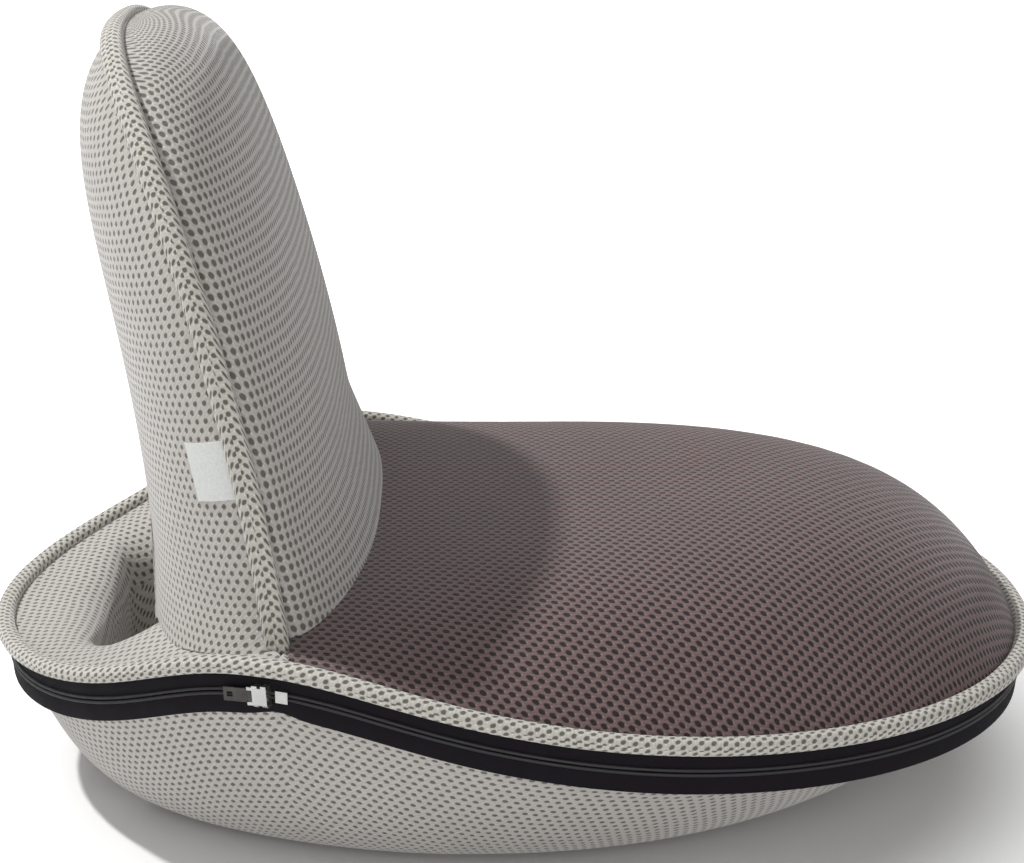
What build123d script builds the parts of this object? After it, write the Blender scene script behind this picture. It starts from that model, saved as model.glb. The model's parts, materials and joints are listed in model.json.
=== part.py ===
"""Folding floor chair: a saucer-shaped padded base with a grip opening at the rear, and a padded
backrest that turns on two hidden ratchet hinges.

Millimetres and degrees. +Z is up, the floor is Z = 0, the chair faces -Y, and the origin is on the
floor below the middle of the base's outline.
"""

import math
import os

from build123d import *

# ---------------------------------------------------------------- base outline and rim
SHELL_HALF_WIDTH = 240.0
SHELL_HALF_LENGTH = 279.0
WIDEST_Y = 6.0  # the outline is widest a little behind its middle
FRONT_FULLNESS = 2.2  # exponent of the outline's front half, 2 is an ellipse
REAR_FULLNESS = 2.0
OUTLINE_ARCS = 16

HINGE_Y = 118.0
HINGE_Z = 118.0
RIM_END_HEIGHT = 74.0  # the rim's height far from the hinge line
HINGE_LIFT = 54.5  # how much higher the rim is at the hinge line
LIFT_SPREAD_FRONT = 136.0
LIFT_POWER_FRONT = 1.8
LIFT_SPREAD_REAR = 97.0
LIFT_POWER_REAR = 2.6

# ---------------------------------------------------------------- bowl under the rim
BOWL_CENTRE_Y = 86.0
FLOOR_SHARE = 0.56  # size of the flat bottom against the outline
BOWL_LEVELS = (0.66, 0.74, 0.81, 0.87, 0.92, 0.96)  # shares of the outline's size
BOWL_STEEPNESS_FRONT = 7.8
BOWL_STEEPNESS_REAR = 11.5
BOWL_ROUNDING = 2.34

# ---------------------------------------------------------------- crown over the rim
CROWN_HEIGHT = 150.0  # height of the crown above the floor at Y = 0
CROWN_SLOPE = 0.08  # the crown rises towards the front
RING_FALL = 26.5  # how far the ring sinks below the crown over RING_FALL_LENGTH behind the hinge
RING_FALL_LENGTH = 100.0
RING_FALL_POWER = 1.6
CROWN_POWER = 5.0
CROWN_SHARPNESS = 1.14
CROWN_LEVELS = (0.975, 0.94, 0.89, 0.83, 0.75, 0.66, 0.56, 0.44)
CROWN_CAP_SHARE = 0.3

# ---------------------------------------------------------------- skins, piping and zip
FABRIC = 3.0  # spacer mesh
GAP = 0.3  # between pieces that lie against each other
PIPING_WIDTH = 8.0
PIPING_HEIGHT = 9.0
PIPING_ROOT = 2.0  # how far inside the outline it starts
ZIP_HEIGHT = 20.0
ZIP_MARGIN = 1.0  # how far the upright band reaches past the zip on both sides
TAPE_THICKNESS = 1.3
COIL_HEIGHT = 6.0  # both halves of the closed coil
COIL_PROUD = 1.4
TAPE_GAP = 0.2

# ---------------------------------------------------------------- grip opening
GRIP_Y = 203.0
# height, half width, half depth of the opening
GRIP_LEVELS = (
    (-6.0, 92.0, 30.0),
    (28.0, 84.0, 25.0),
    (62.0, 78.0, 22.0),
    (84.0, 84.0, 24.0),
    (104.0, 98.0, 34.0),
    (124.0, 124.0, 56.0),
    (160.0, 190.0, 110.0),
)
GRIP_SEAM_Z = 44.0  # where the bottom cover meets the ring cover inside the opening

# ---------------------------------------------------------------- frame
TUBE_RADIUS = 8.0
TUBE_WALL = 1.5
FRAME_Z = 58.0
FRAME_INSET_FRONT = 32.0  # from the shell's outline to the hoop's centre line
FRAME_INSET_REAR = 24.0
HINGE_X = 172.0  # middle plane of each hinge
CROSS_BAR_RADIUS = 6.0

# ---------------------------------------------------------------- hinges
BARREL_RADIUS = 44.0  # the backrest's rounded lower end
BARREL_HALF_WIDTH = 194.0
BARREL_END_HALF_WIDTH = 176.0
BARREL_CLEARANCE = 1.5
WALL_BESIDE_HINGE = 13.0  # of the base, left standing beside the backrest
REST_DEPTH = 110.0  # the base is level under the backrest this far behind the axis
RATCHET_RADIUS = 20.0
RATCHET_THICKNESS = 4.0
CHEEK_THICKNESS = 3.0
CHEEK_RADIUS = 17.0
BRACKET_LENGTH = 40.0
BRACKET_OFFSET = 4.0  # of its middle behind the axis
BRACKET_FLOOR = 3.0  # thickness
CHEEK_FOOT = 8.0  # height of the cheek's straight foot
BRACKET_FLOOR_Z = 76.0
POCKET_SPARE = 2.0  # of the base foam's pocket past the bracket's ends
RIVET_RADIUS = 4.0
RIVET_HEAD_RADIUS = 7.0
RIVET_HEAD = 2.5
RUNNING_FIT = 0.15
STEP_ANGLE = 12.0  # from one backrest position to the next
LOCKED_STEPS = (-1, 0, 1, 2, 7)  # the last is the folded position
RECLINE_SPARE = 14.0  # angle of the backrest's rear lower face
SEAT_SPARE = 20.0  # the backrest's front lower face starts this far above the axis
SEAT_SPARE_ANGLE = 14.0  # and rises at this angle towards the front
SLOT_REAR = 34.0  # reach of the backrest's hinge pockets behind the axis
SLOT_OVER = 1.0  # the pockets' cutter reaches past the barrel
TUBE_FOOT = 14.0  # from the ratchet's rim to the start of the hoop's tube
ARM_WIDTH = 12.0
ARM_LENGTH = 62.0
PAWL_PIN_Y = 20.0  # from the hinge axis
PAWL_PIN_Z = -27.0
PAWL_PIN_RADIUS = 2.5
PAWL_EYE_RADIUS = 5.5
NOSE_RADIUS = 1.2
NOSE_CLEAR = 0.4  # the lifted nose stands this far off the ratchet
PAWL_ANGLE = 7.0  # turn that drops the nose into a notch
NOTCH_CLEAR = 0.6  # the notch is this much larger than the nose all round
PAWL_NECK = 4.5  # below the nose
PAWL_NECK_RADIUS = 2.0
SPRING_THICKNESS = 0.8
SPRING_REAR = 14.0  # of its foot behind the nose
SPRING_FRONT = 7.0  # of its bend before the nose
PAWL_NECK_BACK = 1.0  # the neck and the spring's tip lie this far behind the nose
PAWL_HEAD_OVER = 1.5  # the pawl pin's head past its shank
PAWL_HEAD = 1.0
NOSE_RELIEF = 1.0  # between the pawl's lever and the ratchet

# ---------------------------------------------------------------- backrest
BACK_LENGTH = 308.0  # along the side seam, from the hinge axis to the top
BACK_HALF_WIDTH = 197.0
BACK_LEAN = 16.2  # of the seam's chord
BACK_BOW = 14.0  # how far the seam bows forward of its chord
BACK_ARCH = 2.6  # exponent of the arch, 2 is an ellipse
FRONT_DEPTH = 35.0  # of the padding in front of the side seam
FRONT_TOP_GAIN = 22.0  # thicker towards the top
FRONT_TOP_POWER = 4.0
FRONT_HIP_GAIN = 13.0  # thicker where it meets the seat
FRONT_HIP_SHARE = 0.17
FRONT_HIP_POWER = 1.6
REAR_DEPTH_BASE = 77.0
REAR_DEPTH_TOP = 48.0
TOP_ROUNDING = 8.0
SECTION_WIDTH_POWER = 2.6
SECTION_DEPTH_POWER = 1.8
SECTION_ARCS = 12
BACK_STATIONS = (-0.16, 0.0, 0.07, 0.14, 0.24, 0.4, 0.58, 0.72, 0.83, 0.91, 0.96, 0.985, 0.996)
WELT_PROUD = 7.0
WELT_BREADTH = 12.0  # it lies flat along the side
WELT_START = 21.0  # above the hinge axis
HOOP_LEAN = 14.0
HOOP_LEG = 94.0
LOWER_BAR_AT = 62.0
UPPER_BAR_AT = 138.0

# ---------------------------------------------------------------- label and zip slider
LABEL_WIDTH = 20.0
LABEL_LENGTH = 29.0
LABEL_THICKNESS = 0.6
LABEL_AT = 104.0  # above the hinge axis, along the seam
SLIDER_Y = 124.0
SLIDER_TRAVEL = 20.0
SLIDER_LENGTH = 8.0
SLIDER_HEIGHT = 11.0
SLIDER_DEPTH = 7.0
SLIDER_CLEAR = 0.7
TAB_LENGTH = 15.0
TAB_WIDTH = 7.0
TAB_THICKNESS = 1.2
TAB_PIN_RADIUS = 0.8
TAB_LIFT = 5.2  # the tab's middle stands this far off the outline
STOP_LENGTH = 6.0
STOP_THICKNESS = 2.4
STOP_CLEAR = 0.8  # between the parked slider and the stop
SLIDER_CHAMFER = 1.2
WAIST_DEPTH = 1.2  # of the notches in the slider's sides
LUG_THICKNESS = 1.6
LUG_LENGTH = 3.0
LUG_HALF_HEIGHT = 1.5
PIN_AT = 1.6  # behind the slider's end
EYE_WALL = 0.6  # of the pull tab round its pin
EYE_INSET = 0.8  # its eye is narrower than the tab by this on each side
LUG_CLEAR = 0.3  # between the eye and each lug
SLOT_FROM_END = 3.5  # of the pull tab's slot
TAB_SLOT = (3.4, 2.6)

FAR = 500.0  # half size of the blocks that cut the model

# ---------------------------------------------------------------- derived sizes
ZIP_TOP = -PIPING_HEIGHT / 2  # against the rim's height
ZIP_BOTTOM = ZIP_TOP - ZIP_HEIGHT
ZIP_MIDDLE = (ZIP_TOP + ZIP_BOTTOM) / 2
FOAM_INSET = FABRIC + GAP
FOAM_SPLIT_Z = HINGE_Z - BARREL_RADIUS + 8.0
SEAT_SEAM_Y = HINGE_Y - 12.0
RING_TOP_Z = HINGE_Z - 1.0
EYE_HALF = TAB_WIDTH / 2 - EYE_INSET
CHEEK_OFFSET = RATCHET_THICKNESS / 2 + GAP + CHEEK_THICKNESS / 2
BRACKET_HALF = CHEEK_OFFSET + CHEEK_THICKNESS / 2
SLOT_HALF = BRACKET_HALF + RIVET_HEAD + 1.0
SLOT_TOP = RATCHET_RADIUS + BARREL_CLEARANCE
SEAM_RADIUS = (BACK_LENGTH**2 / 4 + BACK_BOW**2) / (2 * BACK_BOW)
SEAM_TURN = math.asin(BACK_LENGTH / 2 / SEAM_RADIUS)
SEAM_START = math.radians(BACK_LEAN) - SEAM_TURN
HINGE_AXIS = Axis((0, HINGE_Y, HINGE_Z), (1, 0, 0))


# ================================================================ helpers
def write(name, shape):
    """Writes one piece, or a group of like pieces, as parts/NAME.step."""
    solids = shape.solids()
    piece = solids[0] if len(solids) == 1 else Compound(children=list(solids))
    piece.label = name
    export_step(piece, f"parts/{name}.step")


def closed_wire(points):
    """A closed wire of arcs through points: two neighbours and the one between them make an arc."""
    arcs = []
    for i in range(0, len(points), 2):
        end = points[(i + 2) % len(points)]
        arcs.append(Edge.make_three_point_arc(points[i], points[i + 1], end))
    return Wire(arcs)


def side_block(points, half_width=FAR):
    """A block across the chair from a polygon of (y, z) points."""
    corners = [Vector(-half_width, y, z) for y, z in points]
    face = Face(Wire.make_polygon(corners, close=True))
    return Solid.extrude(face, Vector(2 * half_width, 0, 0))


def bar(start, end, radius):
    """A round bar from one point to another."""
    start, end = Vector(*start), Vector(*end)
    plane = Plane(origin=start, z_dir=end - start)
    return Solid.make_cylinder(radius, (end - start).length, plane)


def block(plane, x, y, z):
    """A block in a plane's own X, Y and Z from (low, high) pairs."""
    face = Pos((x[0] + x[1]) / 2, (y[0] + y[1]) / 2) * Rectangle(x[1] - x[0], y[1] - y[0])
    return extrude(plane.offset(z[0]) * face, z[1] - z[0])


def keep_largest(shape):
    """The largest solid: cuts through a thin skin can leave crumbs."""
    return max(shape.solids(), key=lambda solid: solid.volume)


# ================================================================ base shell
def outline_point(angle, inset=0.0):
    """The base's outline from above, drawn in by inset. 0 is the side at +X, 90 degrees the rear."""
    sine, cosine = math.sin(angle), math.cos(angle)
    if sine < 0:
        reach, fullness = SHELL_HALF_LENGTH + WIDEST_Y - inset, FRONT_FULLNESS
    else:
        reach, fullness = SHELL_HALF_LENGTH - WIDEST_Y - inset, REAR_FULLNESS
    x = (SHELL_HALF_WIDTH - inset) * math.copysign(abs(cosine) ** (2 / fullness), cosine)
    y = WIDEST_Y + reach * math.copysign(abs(sine) ** (2 / fullness), sine)
    return x, y


def rim_height(y):
    """Height of the rim: it is lifted at the hinge line and sinks towards both ends."""
    distance = abs(y - HINGE_Y)
    if y < HINGE_Y:
        drop = (distance / LIFT_SPREAD_FRONT) ** LIFT_POWER_FRONT
    else:
        drop = (distance / LIFT_SPREAD_REAR) ** LIFT_POWER_REAR
    return RIM_END_HEIGHT + HINGE_LIFT / (1 + drop)


def crown_height(y):
    """Height that the crown reaches far from the rim."""
    if y < HINGE_Y:
        return CROWN_HEIGHT - CROWN_SLOPE * y
    fall = RING_FALL * ((y - HINGE_Y) / RING_FALL_LENGTH) ** RING_FALL_POWER
    return CROWN_HEIGHT - CROWN_SLOPE * HINGE_Y - fall


def outline_angles():
    count = 2 * OUTLINE_ARCS
    return [2 * math.pi * (i + 0.5) / count for i in range(count)]


def bowl_wire(share, inset):
    """The bowl at one share of the outline's size, from the flat floor up to the zip."""
    points = []
    for angle in outline_angles():
        x, y = outline_point(angle, inset)
        to_rear = (y + SHELL_HALF_LENGTH) / (2 * SHELL_HALF_LENGTH)
        steepness = BOWL_STEEPNESS_FRONT + (BOWL_STEEPNESS_REAR - BOWL_STEEPNESS_FRONT) * to_rear
        rise = 1 - (1 - share**steepness) ** BOWL_ROUNDING
        if share <= FLOOR_SHARE:
            rise = 0.0
        z = inset * (1 - rise) + (rim_height(y) + ZIP_BOTTOM - ZIP_MARGIN) * rise
        points.append((x * share, BOWL_CENTRE_Y + (y - BOWL_CENTRE_Y) * share, z))
    return closed_wire(points)


def rim_wire(offset, inset):
    points = []
    for angle in outline_angles():
        x, y = outline_point(angle, inset)
        points.append((x, y, rim_height(y) + offset))
    return closed_wire(points)


def crown_wire(share, inset):
    points = []
    blend = (1 - share**CROWN_POWER) ** CROWN_SHARPNESS
    if share <= CROWN_CAP_SHARE:
        blend = 1.0
    for angle in outline_angles():
        x, y = outline_point(angle, inset)
        inner_y = WIDEST_Y + (y - WIDEST_Y) * share
        z = rim_height(y) * (1 - blend) + (crown_height(inner_y) - inset) * blend
        points.append((x * share, inner_y, z))
    return closed_wire(points)


def shell(inset=0.0):
    """The closed saucer shape, drawn in by inset all round."""
    wires = [bowl_wire(share, inset) for share in (FLOOR_SHARE,) + BOWL_LEVELS]
    wires += [rim_wire(ZIP_BOTTOM - ZIP_MARGIN, inset), rim_wire(ZIP_TOP + ZIP_MARGIN, inset)]
    wires += [crown_wire(share, inset) for share in CROWN_LEVELS + (CROWN_CAP_SHARE,)]
    return Solid.make_loft(wires, ruled=True)


def rim_slab(low, high):
    """Everything between two heights against the rim's height, as a block across the chair."""
    reach = SHELL_HALF_LENGTH + 2 * PIPING_WIDTH
    count = 2 * OUTLINE_ARCS
    stations = [-reach + 2 * reach * i / count for i in range(count + 1)]
    top = Edge.make_spline([Vector(-FAR, y, rim_height(y) + high) for y in stations])
    bottom = Edge.make_spline([Vector(-FAR, y, rim_height(y) + low) for y in stations])
    ends = [
        Edge.make_line(top @ 0, bottom @ 0),
        Edge.make_line(top @ 1, bottom @ 1),
    ]
    face = Face(Wire([top, bottom] + ends))
    return Solid.extrude(face, Vector(2 * FAR, 0, 0))


def outline_prism(inset):
    """The base's outline as an upright block, drawn in by inset."""
    points = [(*outline_point(angle, inset), 0.0) for angle in outline_angles()]
    return Solid.extrude(Face(closed_wire(points)), Vector(0, 0, FAR))


def stadium_wire(z, half_width, half_depth):
    """Two straight sides joined by half circles, in two quarter arcs each."""
    straight = half_width - half_depth
    quarter = half_depth * math.sqrt(0.5)
    left, right = -straight, straight
    front, rear = GRIP_Y - half_depth, GRIP_Y + half_depth
    edges = [
        Edge.make_line((left, front, z), (right, front, z)),
        Edge.make_three_point_arc(
            (right, front, z), (right + quarter, GRIP_Y - quarter, z), (right + half_depth, GRIP_Y, z)
        ),
        Edge.make_three_point_arc(
            (right + half_depth, GRIP_Y, z), (right + quarter, GRIP_Y + quarter, z), (right, rear, z)
        ),
        Edge.make_line((right, rear, z), (left, rear, z)),
        Edge.make_three_point_arc(
            (left, rear, z), (left - quarter, GRIP_Y + quarter, z), (left - half_depth, GRIP_Y, z)
        ),
        Edge.make_three_point_arc(
            (left - half_depth, GRIP_Y, z), (left - quarter, GRIP_Y - quarter, z), (left, front, z)
        ),
    ]
    return Wire(edges)


def grip_hole(wall=0.0):
    """The waisted opening through the rear of the base, widened by wall."""
    wires = [stadium_wire(z, half_x + wall, half_y + wall) for z, half_x, half_y in GRIP_LEVELS]
    return Solid.make_loft(wires, ruled=True)


def barrel(clearance=0.0):
    """The round space about the hinge axis that the backrest's lower end turns in."""
    radius = BARREL_RADIUS + clearance
    middle, end = BARREL_HALF_WIDTH + clearance, BARREL_END_HALF_WIDTH + clearance
    profile = [(-middle, 0), (-end, radius), (end, radius), (middle, 0)]
    corners = [Vector(x, HINGE_Y, HINGE_Z + r) for x, r in profile]
    return Solid.revolve(Face(Wire.make_polygon(corners, close=True)), 360, HINGE_AXIS)


# ================================================================ frame and hinges
def frame_edge(side):
    """Half of the base hoop's centre line: side -1 is the front half, +1 the rear half."""
    front_reach = SHELL_HALF_LENGTH + WIDEST_Y - FRAME_INSET_FRONT
    rear_reach = SHELL_HALF_LENGTH - WIDEST_Y - FRAME_INSET_REAR
    reach = front_reach if side < 0 else rear_reach
    half_width = HINGE_X / math.sqrt(1 - ((HINGE_Y - WIDEST_Y) / rear_reach) ** 2)
    plane = Plane(origin=(0, WIDEST_Y, FRAME_Z), x_dir=(1, 0, 0), z_dir=(0, 0, 1))
    start, end = (0, 180) if side > 0 else (180, 360)
    return Edge.make_ellipse(half_width, reach, plane, start, end)


def tube_along(path, radius):
    """A round solid along one smooth edge or wire."""
    section = Face(Wire.make_circle(radius, Plane(origin=path @ 0, z_dir=path % 0)))
    return Solid.sweep(section, path)


def half_hoop(side, radius=TUBE_RADIUS, wall=TUBE_WALL):
    outer = tube_along(frame_edge(side), radius)
    if wall is None:
        return outer
    return outer - tube_along(frame_edge(side), radius - wall)


def hoop_core():
    return half_hoop(-1, wall=None) + half_hoop(1, wall=None)


def cross_tube(radius=TUBE_RADIUS, wall=TUBE_WALL):
    ends = (-HINGE_X, HINGE_Y, FRAME_Z), (HINGE_X, HINGE_Y, FRAME_Z)
    tube = bar(*ends, radius)
    if wall is not None:
        tube -= bar(*ends, radius - wall)
    return tube


def across(side, offset, thickness, face):
    """A plate in a plane X = constant from a face drawn in that plane's (y, z)."""
    x = side * HINGE_X + offset - thickness / 2
    plane = Plane(origin=(x, HINGE_Y, HINGE_Z), x_dir=(0, 1, 0), z_dir=(1, 0, 0))
    return extrude(plane * face, thickness)


def cheek_face():
    """A hinge cheek from the side: round at the axis, with a foot on the hoop and an ear for the pawl."""
    foot = FRAME_Z - HINGE_Z
    body = make_hull(
        [
            *Circle(CHEEK_RADIUS).edges(),
            *(Pos(BRACKET_OFFSET, foot + CHEEK_FOOT / 2) * Rectangle(BRACKET_LENGTH, CHEEK_FOOT)).edges(),
            *(Pos(PAWL_PIN_Y, PAWL_PIN_Z) * Circle(PAWL_EYE_RADIUS)).edges(),
        ]
    )
    return body - Circle(RIVET_RADIUS) - Pos(PAWL_PIN_Y, PAWL_PIN_Z) * Circle(PAWL_PIN_RADIUS)


def hinge_bracket(side, hoop):
    """Two cheeks joined by a floor that is welded on the hoop."""
    middle = BRACKET_FLOOR_Z - HINGE_Z - BRACKET_FLOOR / 2
    face = Pos(BRACKET_OFFSET, middle) * Rectangle(BRACKET_LENGTH, BRACKET_FLOOR)
    floor = across(side, 0, 2 * BRACKET_HALF, face)
    cheeks = [across(side, offset, CHEEK_THICKNESS, cheek_face()) for offset in (-CHEEK_OFFSET, CHEEK_OFFSET)]
    return keep_largest(floor + cheeks[0] + cheeks[1] - hoop)


def rivet(side, y, z, radius, head_radius, head):
    """A pin through both cheeks with a head on each side."""
    half = BRACKET_HALF
    x = side * HINGE_X
    at_y, at_z = HINGE_Y + y, HINGE_Z + z
    shank = bar((x - half, at_y, at_z), (x + half, at_y, at_z), radius)
    heads = bar((x - half - head, at_y, at_z), (x - half, at_y, at_z), head_radius)
    heads += bar((x + half, at_y, at_z), (x + half + head, at_y, at_z), head_radius)
    return keep_largest(shank + heads)


def nose_centre(turn=0.0):
    """The pawl nose's centre from the hinge axis, with the pawl turned towards the ratchet."""
    start = Vector(-PAWL_PIN_Y, -(RATCHET_RADIUS + NOSE_CLEAR + NOSE_RADIUS) - PAWL_PIN_Z, 0)
    turned = start.rotate(Axis.Z, -turn)
    return turned.X + PAWL_PIN_Y, turned.Y + PAWL_PIN_Z


def lean_direction(lean, distance, sideways=0.0):
    """(y, z) at a distance along a line that leans back, and sideways of it towards the front."""
    angle = math.radians(lean)
    y = distance * math.sin(angle) - sideways * math.cos(angle)
    z = distance * math.cos(angle) + sideways * math.sin(angle)
    return y, z


def ratchet_face():
    """A notched disc with an arm up into the backrest's tube."""
    middle = lean_direction(HOOP_LEAN, ARM_LENGTH / 2)
    arm = Pos(*middle) * Rot(0, 0, -HOOP_LEAN) * Rectangle(ARM_WIDTH, ARM_LENGTH)
    face = Circle(RATCHET_RADIUS) + arm - Circle(RIVET_RADIUS + RUNNING_FIT)
    y, z = nose_centre(PAWL_ANGLE)
    notch = Pos(y, z) * Circle(NOSE_RADIUS + NOTCH_CLEAR)
    for step in LOCKED_STEPS:
        face -= Rot(0, 0, -step * STEP_ANGLE) * notch
    return face


def ratchet_arm(side):
    return keep_largest(across(side, 0, RATCHET_THICKNESS, ratchet_face()))


def pawl(side):
    """A lever on its pin whose rounded nose drops into the ratchet's notches."""
    y, z = nose_centre()
    eye = Pos(PAWL_PIN_Y, PAWL_PIN_Z) * Circle(PAWL_EYE_RADIUS)
    neck = Pos(y + PAWL_NECK_BACK, z - PAWL_NECK) * Circle(PAWL_NECK_RADIUS)
    nose = Pos(y, z) * Circle(NOSE_RADIUS)
    face = make_hull([*eye.edges(), *neck.edges()]) - Circle(RATCHET_RADIUS + NOSE_RELIEF)
    face += make_hull([*nose.edges(), *neck.edges()])
    face -= Pos(PAWL_PIN_Y, PAWL_PIN_Z) * Circle(PAWL_PIN_RADIUS + RUNNING_FIT)
    return keep_largest(across(side, 0, RATCHET_THICKNESS, face))


def stroke(points, thickness):
    """A strip of one thickness through points."""
    face = None
    for start, end in zip(points, points[1:]):
        rounds = [Pos(*place) * Circle(thickness / 2) for place in (start, end)]
        piece = make_hull([*rounds[0].edges(), *rounds[1].edges()])
        face = piece if face is None else face + piece
    return face


def pawl_spring(side):
    """A leaf that stands on the bracket's floor and bears on the pawl from below."""
    y, z = nose_centre()
    foot = BRACKET_FLOOR_Z - HINGE_Z + SPRING_THICKNESS / 2
    tip = z - PAWL_NECK - PAWL_NECK_RADIUS - GAP - SPRING_THICKNESS / 2
    line = [(y + SPRING_REAR, foot), (y - SPRING_FRONT, foot), (y + PAWL_NECK_BACK, tip)]
    return keep_largest(across(side, 0, RATCHET_THICKNESS, stroke(line, SPRING_THICKNESS)))


# ================================================================ backrest
def seam_place(along):
    """(y, z) and the lean, in radians, at a distance along the bowed side seam."""
    lean = SEAM_START + along / SEAM_RADIUS
    y = HINGE_Y + SEAM_RADIUS * (math.cos(SEAM_START) - math.cos(lean))
    z = HINGE_Z + SEAM_RADIUS * (math.sin(lean) - math.sin(SEAM_START))
    return y, z, lean


def seam_point(along, forward, x=0.0):
    """A point at a distance along the seam and forward of it."""
    y, z, lean = seam_place(along)
    return Vector(x, y - forward * math.cos(lean), z + forward * math.sin(lean))


def back_size(share, inset):
    """Half width, front depth and rear depth at a share of the backrest's length."""
    upper = max(share, 0.0)
    arch = (1 - upper**BACK_ARCH) ** (1 / BACK_ARCH)
    rounding = math.sqrt(1 - upper**TOP_ROUNDING)
    hip = max(1 - upper / FRONT_HIP_SHARE, 0.0) ** FRONT_HIP_POWER
    front = FRONT_DEPTH + FRONT_TOP_GAIN * upper**FRONT_TOP_POWER + FRONT_HIP_GAIN * hip
    rear = REAR_DEPTH_BASE + (REAR_DEPTH_TOP - REAR_DEPTH_BASE) * upper
    return (BACK_HALF_WIDTH - inset) * arch, (front - inset) * rounding, (rear - inset) * rounding


def back_section(share, inset):
    half_width, front, rear = back_size(share, inset)
    along = share * (BACK_LENGTH - inset)
    count = 2 * SECTION_ARCS
    points = []
    for i in range(count):
        angle = 2 * math.pi * i / count
        sine, cosine = math.sin(angle), math.cos(angle)
        x = half_width * math.copysign(abs(cosine) ** (2 / SECTION_WIDTH_POWER), cosine)
        depth = front if sine > 0 else rear
        forward = depth * math.copysign(abs(sine) ** (2 / SECTION_DEPTH_POWER), sine)
        points.append(seam_point(along, forward, x))
    return closed_wire(points)


def back_shell(inset=0.0):
    """The padded backrest as one closed form, drawn in by inset."""
    return Solid.make_loft([back_section(share, inset) for share in BACK_STATIONS])


def back_region():
    """Where the backrest may be: over the seat, over the ring, and in the barrel about the axis."""
    rise = math.tan(math.radians(RECLINE_SPARE)) * (FAR - HINGE_Y)
    front_low = HINGE_Z + SEAT_SPARE
    front_rise = math.tan(math.radians(SEAT_SPARE_ANGLE)) * (FAR + HINGE_Y)
    front = [(HINGE_Y, HINGE_Z), (HINGE_Y, front_low), (-FAR, front_low + front_rise), (-FAR, FAR)]
    return side_block([*front, (FAR, FAR), (FAR, HINGE_Z + rise)]) + barrel()


def seam_block(front, offset=0.0):
    """All in front of the side seam, or all behind it, moved off it by offset."""
    start, middle, end = (seam_point(s * BACK_LENGTH, offset, -FAR) for s in (-0.4, 0.5, 1.3))
    reach = -FAR if front else FAR
    edges = [
        Edge.make_three_point_arc(start, middle, end),
        Edge.make_line(end, Vector(-FAR, reach, end.Z)),
        Edge.make_line(Vector(-FAR, reach, end.Z), Vector(-FAR, reach, start.Z)),
        Edge.make_line(Vector(-FAR, reach, start.Z), start),
    ]
    return Solid.extrude(Face(Wire(edges)), Vector(2 * FAR, 0, 0))


def hinge_slot(side):
    """A pocket in the backrest's lower end that the hinge bracket turns in."""
    radius = BARREL_RADIUS + SLOT_OVER
    low = (-radius, -radius)
    width, height = SLOT_REAR + radius, SLOT_TOP + radius
    reach = Pos(low[0] + width / 2, low[1] + height / 2) * Rectangle(width, height)
    return across(side, 0, 2 * SLOT_HALF, Circle(radius) & reach)


def arm_space(side):
    """Room in the foam for the ratchet's arm, from the slot to the foot of the tube."""
    middle = lean_direction(HOOP_LEAN, ARM_LENGTH / 2)
    arm = Pos(*middle) * Rot(0, 0, -HOOP_LEAN) * Rectangle(ARM_WIDTH, ARM_LENGTH + 2 * GAP)
    return across(side, 0, RATCHET_THICKNESS + 2 * GAP, arm)


def hoop_wire():
    """The back hoop's centre line: two legs and a half circle, in a plane that leans back."""
    def place(x, along):
        y, z = lean_direction(HOOP_LEAN, along)
        return Vector(x, HINGE_Y + y, HINGE_Z + z)

    foot = RATCHET_RADIUS + TUBE_FOOT
    return Wire(
        [
            Edge.make_line(place(-HINGE_X, foot), place(-HINGE_X, HOOP_LEG)),
            Edge.make_three_point_arc(
                place(-HINGE_X, HOOP_LEG), place(0, HOOP_LEG + HINGE_X), place(HINGE_X, HOOP_LEG)
            ),
            Edge.make_line(place(HINGE_X, HOOP_LEG), place(HINGE_X, foot)),
        ]
    )


def back_hoop(radius=TUBE_RADIUS, wall=TUBE_WALL):
    tube = tube_along(hoop_wire(), radius)
    if wall is not None:
        tube -= tube_along(hoop_wire(), radius - wall)
    return tube


def back_bar(along, radius=CROSS_BAR_RADIUS):
    over = max(along - HOOP_LEG, 0.0)
    half = math.sqrt(HINGE_X**2 - over**2)
    y, z = lean_direction(HOOP_LEAN, along)
    return bar((-half, HINGE_Y + y, HINGE_Z + z), (half, HINGE_Y + y, HINGE_Z + z), radius)


def welt():
    """The flat doubled strip that lies over the side seam all round the arch."""
    width, length = BACK_HALF_WIDTH + WELT_PROUD, BACK_LENGTH + WELT_PROUD
    count = 2 * SECTION_ARCS
    points = []
    for i in range(count + 1):
        angle = math.pi * i / count
        sine, cosine = math.sin(angle), math.cos(angle)
        x = width * math.copysign(abs(cosine) ** (2 / BACK_ARCH), cosine)
        along = length * abs(sine) ** (2 / BACK_ARCH)
        points.append(Vector(x, -FAR, seam_place(along)[1]))
    edges = [Edge.make_three_point_arc(*points[i : i + 3]) for i in range(0, count, 2)]
    edges.append(Edge.make_line(points[-1], points[0]))
    arch = Solid.extrude(Face(Wire(edges)), Vector(0, 2 * FAR, 0))
    start = HINGE_Z + WELT_START
    over = side_block([(-FAR, start), (FAR, start), (FAR, FAR), (-FAR, FAR)])
    strip = arch & over & seam_block(True, -WELT_BREADTH / 2) & seam_block(False, WELT_BREADTH / 2)
    return keep_largest(strip - back_shell(-GAP / 2))


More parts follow.
